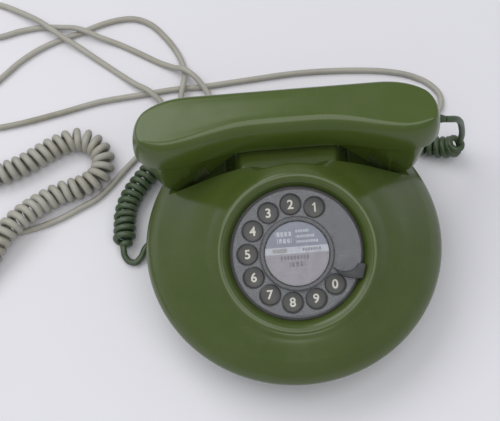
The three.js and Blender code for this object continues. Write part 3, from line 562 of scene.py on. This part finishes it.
HANDSET_TAIL_BASE = [
    (-86.9, 18.5, 8), (-91, 18.4, 6.9), (-95.2, 15.4, 5.4), (-98, 10.6, 3.8), (-102, 7.4, 2.6),
    (-106.4, 8.4, 3.2), (-108.8, 12, 5.4), (-109, 15.4, 7.4),
]
HANDSET_COIL_ROUTE = with_heights(HANDSET_COIL_LEVEL, [
    (-109, 16.6), (-107.8, 28), (-107, 40), (-102.6, 52), (-94.5, 63.5), (-79, 79.5), (-60, 92.5),
    (-40, 100), (-20, 104, 9.6), (2, 105, 13.2), (22, 103.6, 10.6), (42, 99), (60, 92.5), (78, 83),
    (93, 74), (106, 69.4, 9.2), (113, 68, 13), (115.6, 68, 19),
])
HANDSET_TAIL_END = [
    (115.8, 68, 20.2), (115.6, 68, 30), (113.6, 67, 42), (111.6, 65.4, 51), (109, 63.4, 58.4),
    (106.4, 61.8, 63), (103.4, 60.6, 65.6), (99.5, 60, 67.35),
]
handset_line = np.concatenate([
    curve_through(HANDSET_TAIL_BASE, 0.7)[:-1],
    coiled(HANDSET_COIL_ROUTE, HANDSET_HELIX, HANDSET_PITCH, 18, 5.0, phase=2.0, unevenness=0.5)[:-1],
    curve_through(HANDSET_TAIL_END, 0.7),
])
handset_cord = build("handset_cord", *swept(handset_line, HANDSET_CORD / 2), CORD_GREEN, None, "cord_green", (
    "handset_cord_base", "handset_coil_left", "handset_coil_back", "handset_coil_right", "handset_cord_end"))
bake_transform(handset_cord)

LINE_ROUTE = with_heights(FLAT, [
    (0, 91.2, 7.2), (0.1, 94.2, 6.1), (1.2, 98.5, 4.2), (4, 104, 2.6), (11, 112), (28, 117.5), (54, 114),
    (76, 104), (90, 98), (101, 97), (109, 102.6), (110.4, 112.5), (104.5, 122), (93, 129.6), (77, 134.6),
    (55, 137.6), (17, 139), (-25, 136.2), (-53, 134), (-67, 134), (-95, 131.4), (-122.6, 128.6),
    (-150.4, 122.2), (-178, 116.6), (-194, 114.6), (-206, 114.4), (-215, 120), (-217, 130), (-210, 139.4),
    (-200, 146), (-188.7, 156), (-178.2, 165.6), (-164.1, 174.9), (-150, 181.1), (-135.6, 185.5),
    (-121.2, 190.9), (-107, 194), (-96.2, 193.6), (-85.7, 188.4), (-75.5, 176.6), (-67, 161.8),
    (-63.4, 149, 3.2), (-63, 141.5, 5.4), (-64.4, 134, 7.2), (-66.4, 126, 4.4), (-67, 118), (-63, 110.6),
    (-55.4, 108.4), (-48.6, 112), (-46, 119), (-47.6, 126.6, 4.6), (-52.6, 134.6, 7.6), (-58, 140.4, 10.2),
    (-63.6, 145, 9.8), (-70, 149.6, 5), (-79.9, 155.7), (-93.6, 164.6), (-107.4, 173.2),
    (-121.5, 179.6, 4.2), (-135.6, 186, OVER), (-149.8, 190.4, 4.2), (-164, 192.6), (-178.3, 191),
    (-193, 187.6), (-205, 188.4), (-213, 194), (-215.8, 204), (-211, 213), (-202, 216.6), (-192.8, 214.5),
    (-178.4, 206, 4.2), (-163, 194.4, OVER), (-149.4, 182.4, OVER), (-136, 172.6, 4), (-122, 161),
    (-108.2, 149), (-97, 138.6, 4.6), (-88, 131.2, OVER), (-80.6, 123.4, 4), (-78.6, 114.6), (-81, 105.6),
    (-86.6, 97), (-92, 89.6), (-100, 82), (-108.8, 72.8), (-117, 63.4), (-126.4, 55), (-138, 49),
    (-151, 42.6), (-164.3, 38), (-177, 35.4), (-195, 34.6), (-208, 37.5), (-217, 46.5), (-219.5, 58),
    (-216, 68, 4.4), (-210.4, 72.8, 7), (-205.2, 74.4, 8.2),
])
CURL = with_heights(CURL_LEVEL, [
    (-204, 74.6), (-190, 76), (-173, 82), (-153, 93), (-138, 97.6), (-126, 92), (-120.4, 80), (-124.4, 69),
    (-135, 62.4), (-149, 58.6), (-163, 51, 9.4), (-174, 42, 12.6), (-182, 34, 13.6), (-190, 24, 12.4),
    (-198, 13, 9), (-204, 3), (-208, -8),
])
LINE_LEAD = [(-208.3, -9, 8.2), (-209.4, -14, 7), (-209.6, -21, 4), (-208.0, -30, 2.6), (-205.8, -40, 2.2)]
RING_PLACE = (-234, -54)
RING_RADII = (25.0, 29.2)
RING_LEVELS = (2.2, 6.4)
RING_START = 14.0
LINE_TAIL = [(-263.2, -54, 6.4), (-263.3, -44, 6.2), (-263.4, -34, 5.6), (-261.6, -26, 5), (-258.6, -20, 4.8),
             (-258, -15.4, 4.8)]


def put_away_turns():
    """Clockwise turns beside and on each other: outer and inner below, then inner and outer above."""
    low, high = RING_LEVELS
    inner, outer = RING_RADII
    plan = [(outer, low), (inner, low), (inner, high), (outer, high)]
    total = 3 * 360 + 180 + RING_START
    made = []
    for degrees in np.arange(0, total + 0.1, 3.0):
        turn, part = divmod(degrees, 360)
        here = plan[int(turn)]
        onward = plan[min(int(turn) + 1, 3)]
        t = eased(min(max((part - 300) / 60, 0), 1))
        radius = here[0] + (onward[0] - here[0]) * t
        level = here[1] + (onward[1] - here[1]) * t
        a = math.radians(RING_START - degrees)
        made.append((RING_PLACE[0] + radius * math.cos(a), RING_PLACE[1] + radius * math.sin(a), level))
    return np.array(made)


line_start = curve_through(LINE_ROUTE, 1.6)
line_curl = coiled(CURL, LINE_HELIX, LINE_PITCH, 16, 6.0, phase=1.0, unevenness=0.6)
line_end = curve_through(np.concatenate([LINE_LEAD, put_away_turns()[::6], LINE_TAIL]), 1.5)
line_line = np.concatenate([line_start[:-1], line_curl[:-1], line_end])
in_curl = np.concatenate([
    np.zeros(len(line_start) - 1), np.ones(len(line_curl) - 1), np.zeros(len(line_end)),
])
in_curl = np.convolve(np.pad(in_curl, 10, mode="edge"), np.ones(21) / 21, mode="valid")
line_radius = (LINE_CORD + (LINE_CURL_CORD - LINE_CORD) * in_curl) / 2
line_cord = build("line_cord", *swept(line_line, line_radius), CORD_GREY, "root", "cord_grey", (
    "line_cord_rear", "line_cord_loops", "line_cord_curl",
    "line_cord_lead", "line_cord_ring", "line_cord_tail"))


def sleeve(length, wide, narrow, ribs):
    """Tapered cord sleeve along +X with rings moulded round it, and a collar inside the wall."""
    profile = [(0.6, -4), (wide + 0.5, -4), (wide + 0.5, -2.6), (wide, -2.4), (wide, 0.8)]
    ribbed = length - 2.6
    gap = ribbed / ribs
    for k in range(ribs):
        at = 1.2 + ribbed * k / ribs
        thick = wide + (narrow - wide) * at / length
        thin = thick - 0.4
        profile += [(thick, at), (thick, at + gap * 0.55), (thin, at + gap * 0.62), (thin, at + gap * 0.92)]
    profile += [(narrow, length - 0.8), (narrow - 0.25, length), (0.6, length)]
    return moved(turned_ring(profile, 28), ALONG_X)


BASE_OUTLET = 168
LINE_OUTLET = 90


def outlet(angle):
    """Place of a cord sleeve in the lower side of the case, at an angle in degrees from +X."""
    drop = Matrix.Rotation(math.radians(20), 4, "Y")
    return Matrix.Rotation(math.radians(angle), 4, "Z") @ Matrix.Translation((75.4, 0, 13)) @ drop


base_gland = build("base_sleeve", *moved(sleeve(14, 3.7, 2.4, 5), outlet(BASE_OUTLET)), CORD_GREEN, "root",
                   "cord_green", ("base_gland",))
line_gland = build("line_sleeve", *moved(sleeve(16, 3.7, 2.7, 6), outlet(LINE_OUTLET)), CORD_GREY, "root",
                   "cord_grey", ("line_gland",))
end_place = Matrix.Translation((90.6, 60, 70.6)) @ Matrix.Rotation(math.radians(20), 4, "Y")
handset_gland = build("handset_sleeve", *moved(sleeve(9, 3.2, 2.3, 4), end_place), CORD_GREEN, "handset",
                      "cord_green", ("handset_gland",))


def plug_shape():
    """Plug that points along +Y: ribbed sleeve, body with a grip, nose with contact blades, side latch."""
    along_y = Matrix.Translation((0, 0, 4.8)) @ Matrix.Rotation(-math.pi / 2, 4, "X")
    cone = [(0.4, 0)]
    for k in range(5):
        at, thick = 0.3 + 2.5 * k, 3.0 + 0.22 * k
        cone += [(thick, at), (thick, at + 1.5), (thick - 0.45, at + 1.8), (thick - 0.45, at + 2.3)]
    cone += [(4.1, 13), (0.4, 13)]
    parts = [moved(lathe(cone, 28), along_y), rounded_box(13, 22, 8.4, 0, 23.4, 4.6, 1.1),
             rounded_box(9.4, 8, 6, 0, 38, 4.6, 0.5), rounded_box(1.4, 16, 4, -7.9, 26, 4.6, 0.4),
             rounded_box(2, 3, 4, -7.2, 19.5, 4.6, 0.4)]
    parts += [rounded_box(9, 0.9, 0.7, 0.4, 15.5 + 2.2 * k, 8.9, 0.25) for k in range(5)]
    parts += [rounded_box(0.7, 6.6, 0.5, x, 38.4, 7.7, 0.15) for x in (-3, -1, 1, 3)]
    return combine(*parts)


plug = build("plug", *moved(plug_shape(), Matrix.Translation((-258, -16, 0))), CORD_GREY, "root", "cord_grey",
             ("line_plug",))

# ------ case
AROUND = 168
WALL = 2.6
SIDE_PROFILE = [
    (84.6, 46.2), (86.7, 44.0), (88.6, 41.8), (90.2, 39.5), (91.3, 37.1), (91.8, 34.6), (91.2, 31.8),
    (88.6, 28.6), (82, 21.8), (75.9, 14), (73.2, 9.4),
]
# radii and heights in the dial's tilted frame
CREST_PROFILE = [(44.0, 2.55), (45.4, 3.0), (46.9, 2.8), (48.6, 1.7), (50.6, -0.2), (53, -3.6)]
# shares of the way out and of the way down, at the back and elsewhere
FLANK = [(0.10, 0.20), (0.24, 0.42), (0.42, 0.63), (0.62, 0.82), (0.82, 0.94), (1, 1)]
CONE = [(0.17, 0.14), (0.35, 0.31), (0.53, 0.50), (0.70, 0.68), (0.86, 0.85), (1, 1)]
# the back begins where the sine of the angle round the case passes this
STEEP_BEYOND = 0.87
TROUGH_FRONT = 31.6
TROUGH_FLOOR = 48.6
BLOCK_HALF = 29.7
BLOCK_FRONT = 29
BLOCK_BACK = 70
PLUNGER_X = 18
PLUNGER_Y = 56
POSTS = ((60, -22), (-60, -22), (56, 34), (-56, 34))


def tilted_ring(radius, height):
    flat = circle(radius, height, AROUND)
    turn = np.array(Matrix.Rotation(DIAL_TILT, 3, "X"))
    return flat @ turn.T + np.array(DIAL_CENTRE)


def between(start, end, out, down):
    """Points part of the way out and part of the way down from one ring to another."""
    return start + (end - start) * np.array((out, out, down))


def case_rings(inset):
    """Rings over the raised dial surround, down its flank, over the shoulder and round the side."""
    crest = [tilted_ring(r - inset, n - inset * 0.9) for r, n in CREST_PROFILE]
    foot = circle(64 - inset, 48.9 - inset, AROUND, (0, -13))
    low = circle(82.4 - inset, 48.3 - inset, AROUND)
    around = np.sin(2 * np.pi * np.arange(AROUND) / AROUND)
    steep = eased(np.clip((around - STEEP_BEYOND) / (1 - STEEP_BEYOND), 0, 1)[:, None])
    start = crest[2]
    for k, (out, down) in enumerate(((0.045, 0.03), (0.11, 0.09), (0.19, 0.17))):
        crest[k + 3] = crest[k + 3] * steep + (1 - steep) * between(start, low, out, down)
    edge = crest[-1]
    flank = [between(edge, foot, *FLANK[k]) * steep + between(edge, low, *CONE[k]) * (1 - steep)
             for k in range(len(FLANK))]
    side = [circle(r - inset, z - inset * max(0.0, min(1.0, (z - 36) / 8)), AROUND) for r, z in SIDE_PROFILE]
    return smooth(crest + flank + side, 4)


def case_solid(inset):
    """The whole round body, filled, drawn in by inset."""
    rim = [(72.8, 8.5), (72.2, 8.4)] if inset == 0 else [(70.6, 8.0)]
    return loft(case_rings(inset) + [circle(r, z, AROUND) for r, z in rim])


def about_dial(profile):
    return moved(lathe(profile, AROUND), Matrix.Translation(DIAL_CENTRE) @ Matrix.Rotation(DIAL_TILT, 4, "X"))


BOWL = [(39.6, -9.5), (39.4, -5.2), (39.4, -3.7), (39.6, -2.8), (40, -2), (40.5, -0.9), (41, 0), (41.6, 0.8),
        (42.4, 1.6), (43.2, 2.15), (44.0, 2.56), (44.6, 2.8), (46, 14)]


def block_rings(inset):
    """Cradle block between the handset's cups, with a flared foot that runs out into the top of the case."""
    flare = [(13.5, 47.4), (10.4, 48.2), (8.2, 50.4), (6.6, 54.5), (4.6, 62), (2.0, 71.0)]
    rings = [slab(-BLOCK_HALF - d + inset, BLOCK_HALF + d - inset, BLOCK_FRONT - d * 0.3 + inset,
                  BLOCK_BACK + d * 0.8 - inset, 4 + d * 0.6, z - inset) for d, z in flare]
    for d, z in ((0.6, 73.6), (0.0, 74.8), (-0.9, 76.0), (-2.2, 76.5), (-3.4, 76.6)):
        rings.append(slab(-BLOCK_HALF - d + inset, BLOCK_HALF + d - inset, BLOCK_FRONT - d + inset,
                          BLOCK_BACK + d - inset, 4, z - inset))
    return smooth(rings, 3)


def trough(inset):
    """Room for the handset's cups: a rounded front wall and a level floor behind it."""
    levels = [(0.0, 1.6), (0.3, 0.8), (0.9, 0.2), (1.8, 0.0), (20, -0.6), (70, -2.0)]
    front, floor_level = TROUGH_FRONT - inset, TROUGH_FLOOR - inset
    return loft([slab(-120, 120, front + i, 130, 2, floor_level + z) for z, i in levels])


hollow = cut(loose(case_solid(WALL)), trough(WALL))
hollow = join(hollow, loft([slab(-40, 40, 30, 76, 6, 40.0)] + block_rings(WALL)))
hollow = cut(hollow, about_dial([(42.2, -9.0), (42.2, 30)]))
case = cut(loose(case_solid(0)), trough(0))
case = join(case, loft([slab(-44, 44, 28, 80, 6, 44.0)] + block_rings(0)))
case = cut(case, about_dial(BOWL))
case = boolean(case, hollow, "DIFFERENCE")
for x in (-PLUNGER_X, PLUNGER_X):
    hole = lathe([(3.7, 60), (3.7, 76.0), (4.3, 76.65), (4.3, 90)], 32)
    case = cut(case, moved(hole, Matrix.Translation((x, PLUNGER_Y, 0))))
for x, y in POSTS:
    top = 58.5 if y < 0 else 47.2
    post = turned_ring([(1.9, 9), (4.2, 9), (4.6, top), (1.9, top)], 24, (x, y))
    case = join(case, post)
for angle in (BASE_OUTLET, LINE_OUTLET):
    hole = moved(lathe([(4.2, -6), (4.2, 7)], 28), outlet(angle) @ ALONG_X)
    case = cut(case, hole)
settle(case, "case_body", CASE, "root", ("case_shell",))


def tray_shape():
    pan = rounded([(0.5, 4), (67.5, 4), (70.2, 6.2), (70.2, 8.2), (68.2, 8.2), (67, 6), (0.5, 6)], 0.5)
    parts = [turned_ring(pan, 96), lathe([(1.5, 5), (1.5, 30)], 20, (-29, 43)),
             lathe([(1.6, 5), (1.6, 18.6)], 20, (12, 48))]
    for radius in (18, 34, 50):
        rib = [(radius, 3.7), (radius + 1.4, 3.7), (radius + 1.4, 4.2), (radius, 4.2)]
        parts.append(turned_ring(rounded(rib, 0.2), 96))
    return combine(*parts)


tray = loose(tray_shape())
for post in POSTS:
    tray = cut(tray, lathe([(2.3, 2), (2.3, 9)], 20, post))
settle(tray, "base_pan", DARK, "root", ("base_tray",))
for i, centre in enumerate(((40, -44), (-40, -44), (36, 50), (-36, 50)), 1):
    foot = rounded([(0.1, 0.9), (4.6, 0.9), (5.2, 0), (7.4, 0), (8, 1.2), (8, 3.7), (0.1, 3.7)], 0.4)
    build(f"foot_{i}", *lathe(foot, 40, centre), RUBBER, "root", "foot_rubber", (f"rubber_foot_{i}",))

for side, x in (("left", -PLUNGER_X), ("right", PLUNGER_X)):
    plunger = smooth([circle(r, z, 32, (x, PLUNGER_Y)) for r, z in (
        (3.2, 60), (3.2, 66), (3.2, 76.4), (3.05, 77.4), (2.5, 78.1), (1.4, 78.35), (0.2, 78.4))], 3)
    build(f"plunger_{side}", *loft(plunger), CORD_GREEN, "cradle", "cord_green", (f"cradle_plunger_{side}",))

# ------ handset
HALF = 92.3
# the plan, as curves of four control points, from the middle of the back round by the left
OUTLINE = [
    ((0, 74), (-19, 74), (-38, 74), (-56, 74)),
    ((-56, 74), (-80, 74), (-HALF, 62), (-HALF, 49)),
    ((-HALF, 49), (-HALF, 38), (-84, 32.4), (-72, 32.4)),
    ((-72, 32.4), (-56, 32.4), (-40, 40.2), (-18, 40.2)),
    ((-18, 40.2), (-6, 40.2), (6, 40.2), (18, 40.2)),
    ((18, 40.2), (40, 40.2), (56, 32.4), (72, 32.4)),
    ((72, 32.4), (84, 32.4), (HALF, 38), (HALF, 49)),
    ((HALF, 49), (HALF, 62), (80, 74), (56, 74)),
    ((56, 74), (38, 74), (19, 74), (0, 74)),
]


def bezier(a, b, c, d, shares):
    """Points of a curve of four control points."""
    a, b, c, d = (np.array(p, float) for p in (a, b, c, d))
    return [(1 - t) ** 3 * a + 3 * (1 - t) ** 2 * t * b + 3 * (1 - t) * t * t * c + t**3 * d for t in shares]


def handset_outline():
    """The plan as points and the outward directions at them, evened out along it."""
    made = np.array([point for curve in OUTLINE for point in bezier(*curve, [k / 22 for k in range(22)])])
    step = np.roll(made, -1, 0) - np.roll(made, 1, 0)
    normal = np.stack([step[:, 1], -step[:, 0]], 1)
    normal /= np.linalg.norm(normal, axis=1)[:, None]
    for _ in range(6):
        normal = normal + 0.5 * (np.roll(normal, 1, 0) + np.roll(normal, -1, 0))
        normal /= np.linalg.norm(normal, axis=1)[:, None]
    return made, normal


handset_plan, handset_normal = handset_outline()
FACE_INSET = 9.6


def handset_ring(inset, z, shaped=False):
    """The outline drawn in by inset. A shaped ring is drawn in less at the ends and back than in front."""
    from_middle = np.clip(np.abs(handset_plan[:, 0]) / 70, 0, 1)
    front = np.clip(-handset_normal[:, 1], 0, 1) * (1.0 - 0.28 * from_middle ** 2)
    back = 0.62 * np.clip(handset_normal[:, 1], 0, 1)
    share = np.maximum(0.42, np.maximum(front, back)) if shaped else 1.0
    flat = handset_plan - handset_normal * (np.broadcast_to(share, len(handset_plan)) * inset)[:, None]
    return np.column_stack([flat, np.full(len(flat), float(z))])


def shrunk_ring(share, z):
    """The middle of the top face: its outline drawn in towards the handset's spine."""
    flat = handset_ring(FACE_INSET, z, True)[:, :2]
    spine = np.stack([np.clip(flat[:, 0], -64, 64), np.full(len(flat), 58.0) - np.abs(flat[:, 0]) * 0.05], 1)
    flat = spine + (flat - spine) * share
    return np.column_stack([flat, np.full(len(flat), float(z))])


COVER_PROFILE = [(0.9, 83.2), (0.2, 83.6), (0.0, 84.6), (0.15, 87.0), (0.6, 90.4), (1.4, 93.8), (2.5, 96.8),
                 (3.9, 99.5), (5.6, 101.9), (7.5, 103.6), (FACE_INSET, 104.6)]
cover_outside = [handset_ring(d, z, True) for d, z in COVER_PROFILE]
cover_outside += [shrunk_ring(s, z) for s, z in ((0.8, 104.86), (0.5, 105.0), (0.2, 105.0))]
cover_inside = [handset_ring(d, z) for d, z in ((3.2, 82), (3.4, 90), (6.8, 98), (11, 101.8))]
cover = cut(loose(loft(smooth(cover_outside, 4))), loft(cover_inside))
settle(cover, "handset_top", HANDSET, "handset", ("handset_cover",), sharp=50)

# height, left, right, front, back and corner radius of the right cup
CUP_LEVELS = [
    (50.0, 57.2, 76.4, 37.6, 63.8, 7), (50.25, 56.0, 77.5, 36.4, 65.0, 8),
    (51.2, 54.2, 79.4, 34.6, 67.0, 9.4), (54, 52.2, 81.0, 33.7, 68.3, 10.2),
    (64, 45.6, 82.9, 33.2, 70, 11), (71, 39.8, 84.3, 33.3, 70.8, 11.6), (77, 34.4, 85.8, 33.9, 71.3, 12),
    (80.6, 30.4, 87.0, 34.5, 71.6, 12), (82.6, 26.0, 88.0, 35.2, 71.8, 12),
]
CUP_HOLLOW = [
    (52.4, 55, 78.6, 35.4, 66.4, 7), (64, 45.6, 82.9, 33.2, 70, 7), (82, 29, 87, 34.5, 71.5, 7),
    (90, 29, 87, 34.5, 71.5, 7),
]
CUP_WALL = 2.4
SOUND_HOLES = (66, 51)
SOUND_HOLE_CIRCLE = 5.5


def cup_rings(levels, side, wall, per_corner):
    """Rings of a cup on the left (-1) or right (1), drawn in by wall."""
    rings = []
    for z, x0, x1, y0, y1, r in levels:
        low, high = (x0 + wall, x1 - wall) if side > 0 else (-x1 + wall, -x0 - wall)
        rings.append(slab(low, high, y0 + wall, y1 - wall, r, z, 0, per_corner))
    return rings


def clipped(rings, inset, low, high):
    """What of a loft lies within the handset's outline drawn in by inset."""
    limits = loft([handset_ring(inset, low), handset_ring(inset, high)])
    return boolean(loose(loft(rings)), loose(limits), "INTERSECT")


BODY_PROFILE = [(6.4, 79.6), (4.6, 80.0), (3.0, 80.8), (1.9, 82.0), (1.5, 82.9)]
body_rings = [handset_ring(d, z) for d, z in BODY_PROFILE]
lower = loose(loft(smooth(body_rings, 2)))
for side in (-1, 1):
    lower = boolean(lower, clipped(smooth(cup_rings(CUP_LEVELS, side, 0, 14), 4), 1.5, 45, 90), "UNION")
for side in (-1, 1):
    lower = boolean(lower, clipped(cup_rings(CUP_HOLLOW, side, CUP_WALL, 8), 3.9, 40, 95), "DIFFERENCE")
    x, y = side * SOUND_HOLES[0], SOUND_HOLES[1]
    holes = [(x, y)]
    for k in range(5):
        a = k * math.tau / 5
        holes.append((x + SOUND_HOLE_CIRCLE * math.cos(a), y + SOUND_HOLE_CIRCLE * math.sin(a)))
    for hole in holes:
        lower = cut(lower, lathe([(1.2, 48), (1.2, 54)], 14, hole))
lower = cut(lower, rounded_box(50, 22, 6, 0, 57, 84.6, 1.0))
entry = moved(lathe([(3.5, -8), (3.5, 8)], 24), Matrix.Translation((84, 60, 71)) @ ALONG_X)
lower = cut(lower, entry)
settle(lower, "handset_shell", HANDSET, "handset", ("handset_body",), sharp=45)

# ------ dial
HOLE_ANGLES = [math.radians(65 + 28 * k) for k in range(10)]
HOLE_CIRCLE = 29.0
hole_centres = [(HOLE_CIRCLE * math.cos(a), HOLE_CIRCLE * math.sin(a)) for a in HOLE_ANGLES]


def plate_with_holes(name, outer, holes, bottom, top, bevel):
    """The mesh of a flat bevelled plate with holes, made as a filled curve."""
    flat = bpy.data.curves.new(name, "CURVE")
    flat.dimensions = "2D"
    flat.fill_mode = "BOTH"
    flat.extrude = max((top - bottom) / 2 - bevel, 0.01) * MM
    flat.bevel_depth = bevel * MM
    flat.bevel_resolution = 3
    flat.offset = -bevel * MM
    for outline in [outer] + holes:
        spline = flat.splines.new("POLY")
        spline.points.add(len(outline) - 1)
        for point, (x, y) in zip(spline.points, outline):
            point.co = (x * MM, y * MM, 0, 1)
        spline.use_cyclic_u = True
    piece = put_in_scene(name, flat)
    mesh = evaluated_mesh(piece)
    bpy.data.objects.remove(piece)
    mesh.transform(Matrix.Translation((0, 0, (top + bottom) / 2 * MM)))
    return mesh


def flat_circle(radius, x=0.0, y=0.0, count=48, clockwise=False):
    made = [(x + radius * math.cos(a), y + radius * math.sin(a)) for a in
            (math.tau * k / count for k in range(count))]
    return made[::-1] if clockwise else made


finger_holes = [flat_circle(6.4, x, y, 40, True) for x, y in hole_centres]
finger_mesh = plate_with_holes("finger_plate_fine", flat_circle(37.8, count=120),
                               finger_holes + [flat_circle(5.0, clockwise=True)], -2.4, 0, 0.55)
finish_mesh(finger_mesh, "finger_plate_clear", DIAL_CLEAR, "dial", ("finger_plate",),
            DIAL_PLACE)

number_outline = rounded([(6, -7.4), (40.6, -7.4), (40.6, -5.9), (36.6, -5.9), (36.2, -6.1), (22.6, -6.1),
                          (22.2, -5.9), (6, -5.9)], 0.25)
build("number_plate_fine", *turned_ring(number_outline, 120), PLATE, "root", "number_plate",
      ("number_plate",), DIAL_PLACE)
disc_profile = rounded([(0.1, -6.2), (6.05, -6.2), (6.05, -5.75), (5.7, -5.62), (0.1, -5.72)], 0.12)
discs = [lathe(disc_profile, 40, centre) for centre in hole_centres]
build("number_discs", *combine(*discs), NUMBER_DISC, "root", "number_plate", (), DIAL_PLACE)


def numeral_mesh(text):
    """One bold figure, about 5.5 mm tall."""
    letters = bpy.data.curves.new("figure", "FONT")
    letters.body = text
    letters.size = 7.5 * MM
    letters.align_x = "CENTER"
    letters.align_y = "CENTER"
    letters.offset = 0.17 * MM
    letters.extrude = 0.07 * MM
    letters.resolution_u = 6
    piece = put_in_scene("figure", letters)
    mesh = evaluated_mesh(piece)
    bpy.data.objects.remove(piece)
    return mesh


# the figure 1 with a sloping head and no foot
ONE = [(-0.45, -2.75), (0.47, -2.75), (0.47, 2.75), (-0.2, 2.75), (-0.75, 2.1), (-1.5, 1.75), (-1.5, 1.0),
       (-0.45, 1.4)][::-1]
FIGURE_LEVEL = -5.60
figures = bmesh.new()
for k, (x, y) in enumerate(hole_centres):
    mesh = numeral_mesh(str((k + 1) % 10)) if k else plate_with_holes("figure", ONE, [], -0.07, 0.07, 0.03)
    corners = [v.co for v in mesh.vertices]
    middle = (Vector(map(min, zip(*corners))) + Vector(map(max, zip(*corners)))) / 2
    shift = Vector((x, y, FIGURE_LEVEL)) * MM - Vector((middle.x, middle.y, 0))
    mesh.transform(Matrix.Translation(shift))
    figures.from_mesh(mesh)
figure_mesh = bpy.data.meshes.new("numerals")
figures.to_mesh(figure_mesh)
figures.free()
finish_mesh(figure_mesh, "numerals", NUMERAL, "root", (), DIAL_PLACE)

gasket = rounded([(39.6, -5.3), (41.6, -5.3), (41.6, -4.2), (39.6, -4.2)], 0.3)
build("dark_ring", *turned_ring(gasket, 120), DARK, "root", "number_plate", ("dial_gasket",), DIAL_PLACE)
ring = rounded([(19.1, 0.3), (22, 0.3), (22, 1.2), (21.3, 2.0), (19.5, 2.0), (19.1, 1.4)], 0.35)
build("holder_ring", *turned_ring(ring, 96), RING_SMOKED, "dial", "dial_plastic", ("label_ring",), DIAL_PLACE)
paper = rounded([(0.05, 0.3), (18.8, 0.3), (18.8, 0.8), (0.05, 0.8)], 0.1)
build("label_paper", *lathe(paper, 96), LABEL, "dial", "label", ("label_disc",), DIAL_PLACE)
window = rounded([(0.05, 1.1), (18.8, 1.1), (18.8, 1.6), (18.2, 1.9), (0.05, 1.9)], 0.2)
build("label_window", *lathe(window, 96), COVER_CLEAR, "dial", "label_cover", ("label_cover",), DIAL_PLACE)

# the blade of the finger stop, as curves of four control points, in the frame of the dial
BLADE = [
    ((22.4, -1.2), (24.4, -2.4), (27, -2.5), (29.6, -2.0)),
    ((29.6, -2.0), (33.5, -1.0), (35.2, 1.0), (36.0, 4.6)),
    ((36.0, 4.6), (37.3, 5.7), (39, 5.9), (40.2, 5.8)),
    ((40.2, 5.8), (40.6, 3.2), (40.9, 0.4), (40.9, -2.8)),
    ((40.9, -2.8), (35, -5.4), (27.0, -6.4), (22.4, -1.2)),
]
blade = [point for curve in BLADE for point in bezier(*curve, np.linspace(0, 1, 14)[:-1])]
STOP_ANGLE = math.radians(-21)
stop_mesh = plate_with_holes("finger_stop_fine", blade, [], 0.6, 2.2, 0.45)
foot_mesh = mesh_of("stop_foot", *rounded_box(0.8, 6, 7, 38.6, 0, -1.7, 0.25))
both = bmesh.new()
both.from_mesh(stop_mesh)
both.from_mesh(foot_mesh)
both.to_mesh(stop_mesh)
both.free()
finish_mesh(stop_mesh, "finger_stop_blade", STOP, "root", ("finger_stop",),
            DIAL_PLACE @ Matrix.Rotation(STOP_ANGLE, 4, "Z"))

# ------ finishes of the inner parts
INNER = {
    STEEL: ("case_screw_1", "case_screw_2", "case_screw_3", "case_screw_4", "hook_switch_frame", "hook_lever",
            "bell_hammer", "dial_frame", "dial_bridge", "dial_spindle", "governor_shaft", "governor_drum",
            "mainspring"),
    BRASS: ("bell_gong", "hook_contact_1", "hook_contact_2", "main_wheel", "governor_pinion",
            "governor_weights", "pulse_contacts"),
    BOARD: ("circuit_board",),
    IVORY: ("terminal_block",),
    WINDING: ("bell_coil",),
    TIN: ("induction_coil", "line_capacitor", "receiver_capsule", "transmitter_capsule"),
    DARK: ("plunger_yoke",),
}
for material, names in INNER.items():
    for name in names:
        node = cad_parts[name]
        node.data.materials.clear()
        node.data.materials.append(material)
        weld = node.modifiers.new("weld", "WELD")
        weld.merge_threshold = 0.00001
        soften = node.modifiers.new("soften", "BEVEL")
        soften.width = 0.00025
        soften.segments = 2
        soften.limit_method = "ANGLE"
        soften.angle_limit = math.radians(40)

# ------ floor and light
FLOOR_HALF = 6
floor_mesh = bpy.data.meshes.new("floor")
floor_corners = [(x * FLOOR_HALF, y * FLOOR_HALF, 0) for x, y in ((-1, -1), (1, -1), (1, 1), (-1, 1))]
floor_mesh.from_pydata(floor_corners, [], [(0, 1, 2, 3)])
floor = put_in_scene("floor", floor_mesh)
paint = Paint("pale_floor")
spread = paint.add("TexCoord", out=OBJECT)
tone = paint.noise(spread, 2.5, 4.0, 0.5)
floor_material = paint.output(paint.add("BsdfPrincipled", {
    "Base Color": paint.mix(tone, (0.70, 0.695, 0.735, 1.0), (0.75, 0.745, 0.78, 1.0)), "Roughness": 0.6}))
floor_mesh.materials.append(floor_material)


def softbox(name, place, aim, size, power, colour):
    lamp = bpy.data.lights.new(name, "AREA")
    lamp.shape = "RECTANGLE"
    lamp.size, lamp.size_y = size
    lamp.energy = power
    lamp.color = colour
    made = put_in_scene(name, lamp)
    made.location = place
    made.rotation_euler = (Vector(aim) - Vector(place)).to_track_quat("-Z", "Y").to_euler()


softbox("window_light", (-0.8, 0.6, 1.5), (0, 0, 0.03), (1.6, 1.1), 13, (1.0, 1.0, 1.0))
softbox("overhead", (0.2, -0.5, 1.8), (0, 0, 0.03), (1.9, 1.3), 14, (1.0, 0.99, 0.97))
world = bpy.data.worlds.new("soft_sky")
world.use_nodes = True
sky = world.node_tree.nodes["Background"]
sky.inputs["Color"].default_value = (0.93, 0.95, 1.0, 1.0)
sky.inputs["Strength"].default_value = 0.46
bpy.context.scene.world = world
bpy.context.scene.view_settings.view_transform = "Standard"
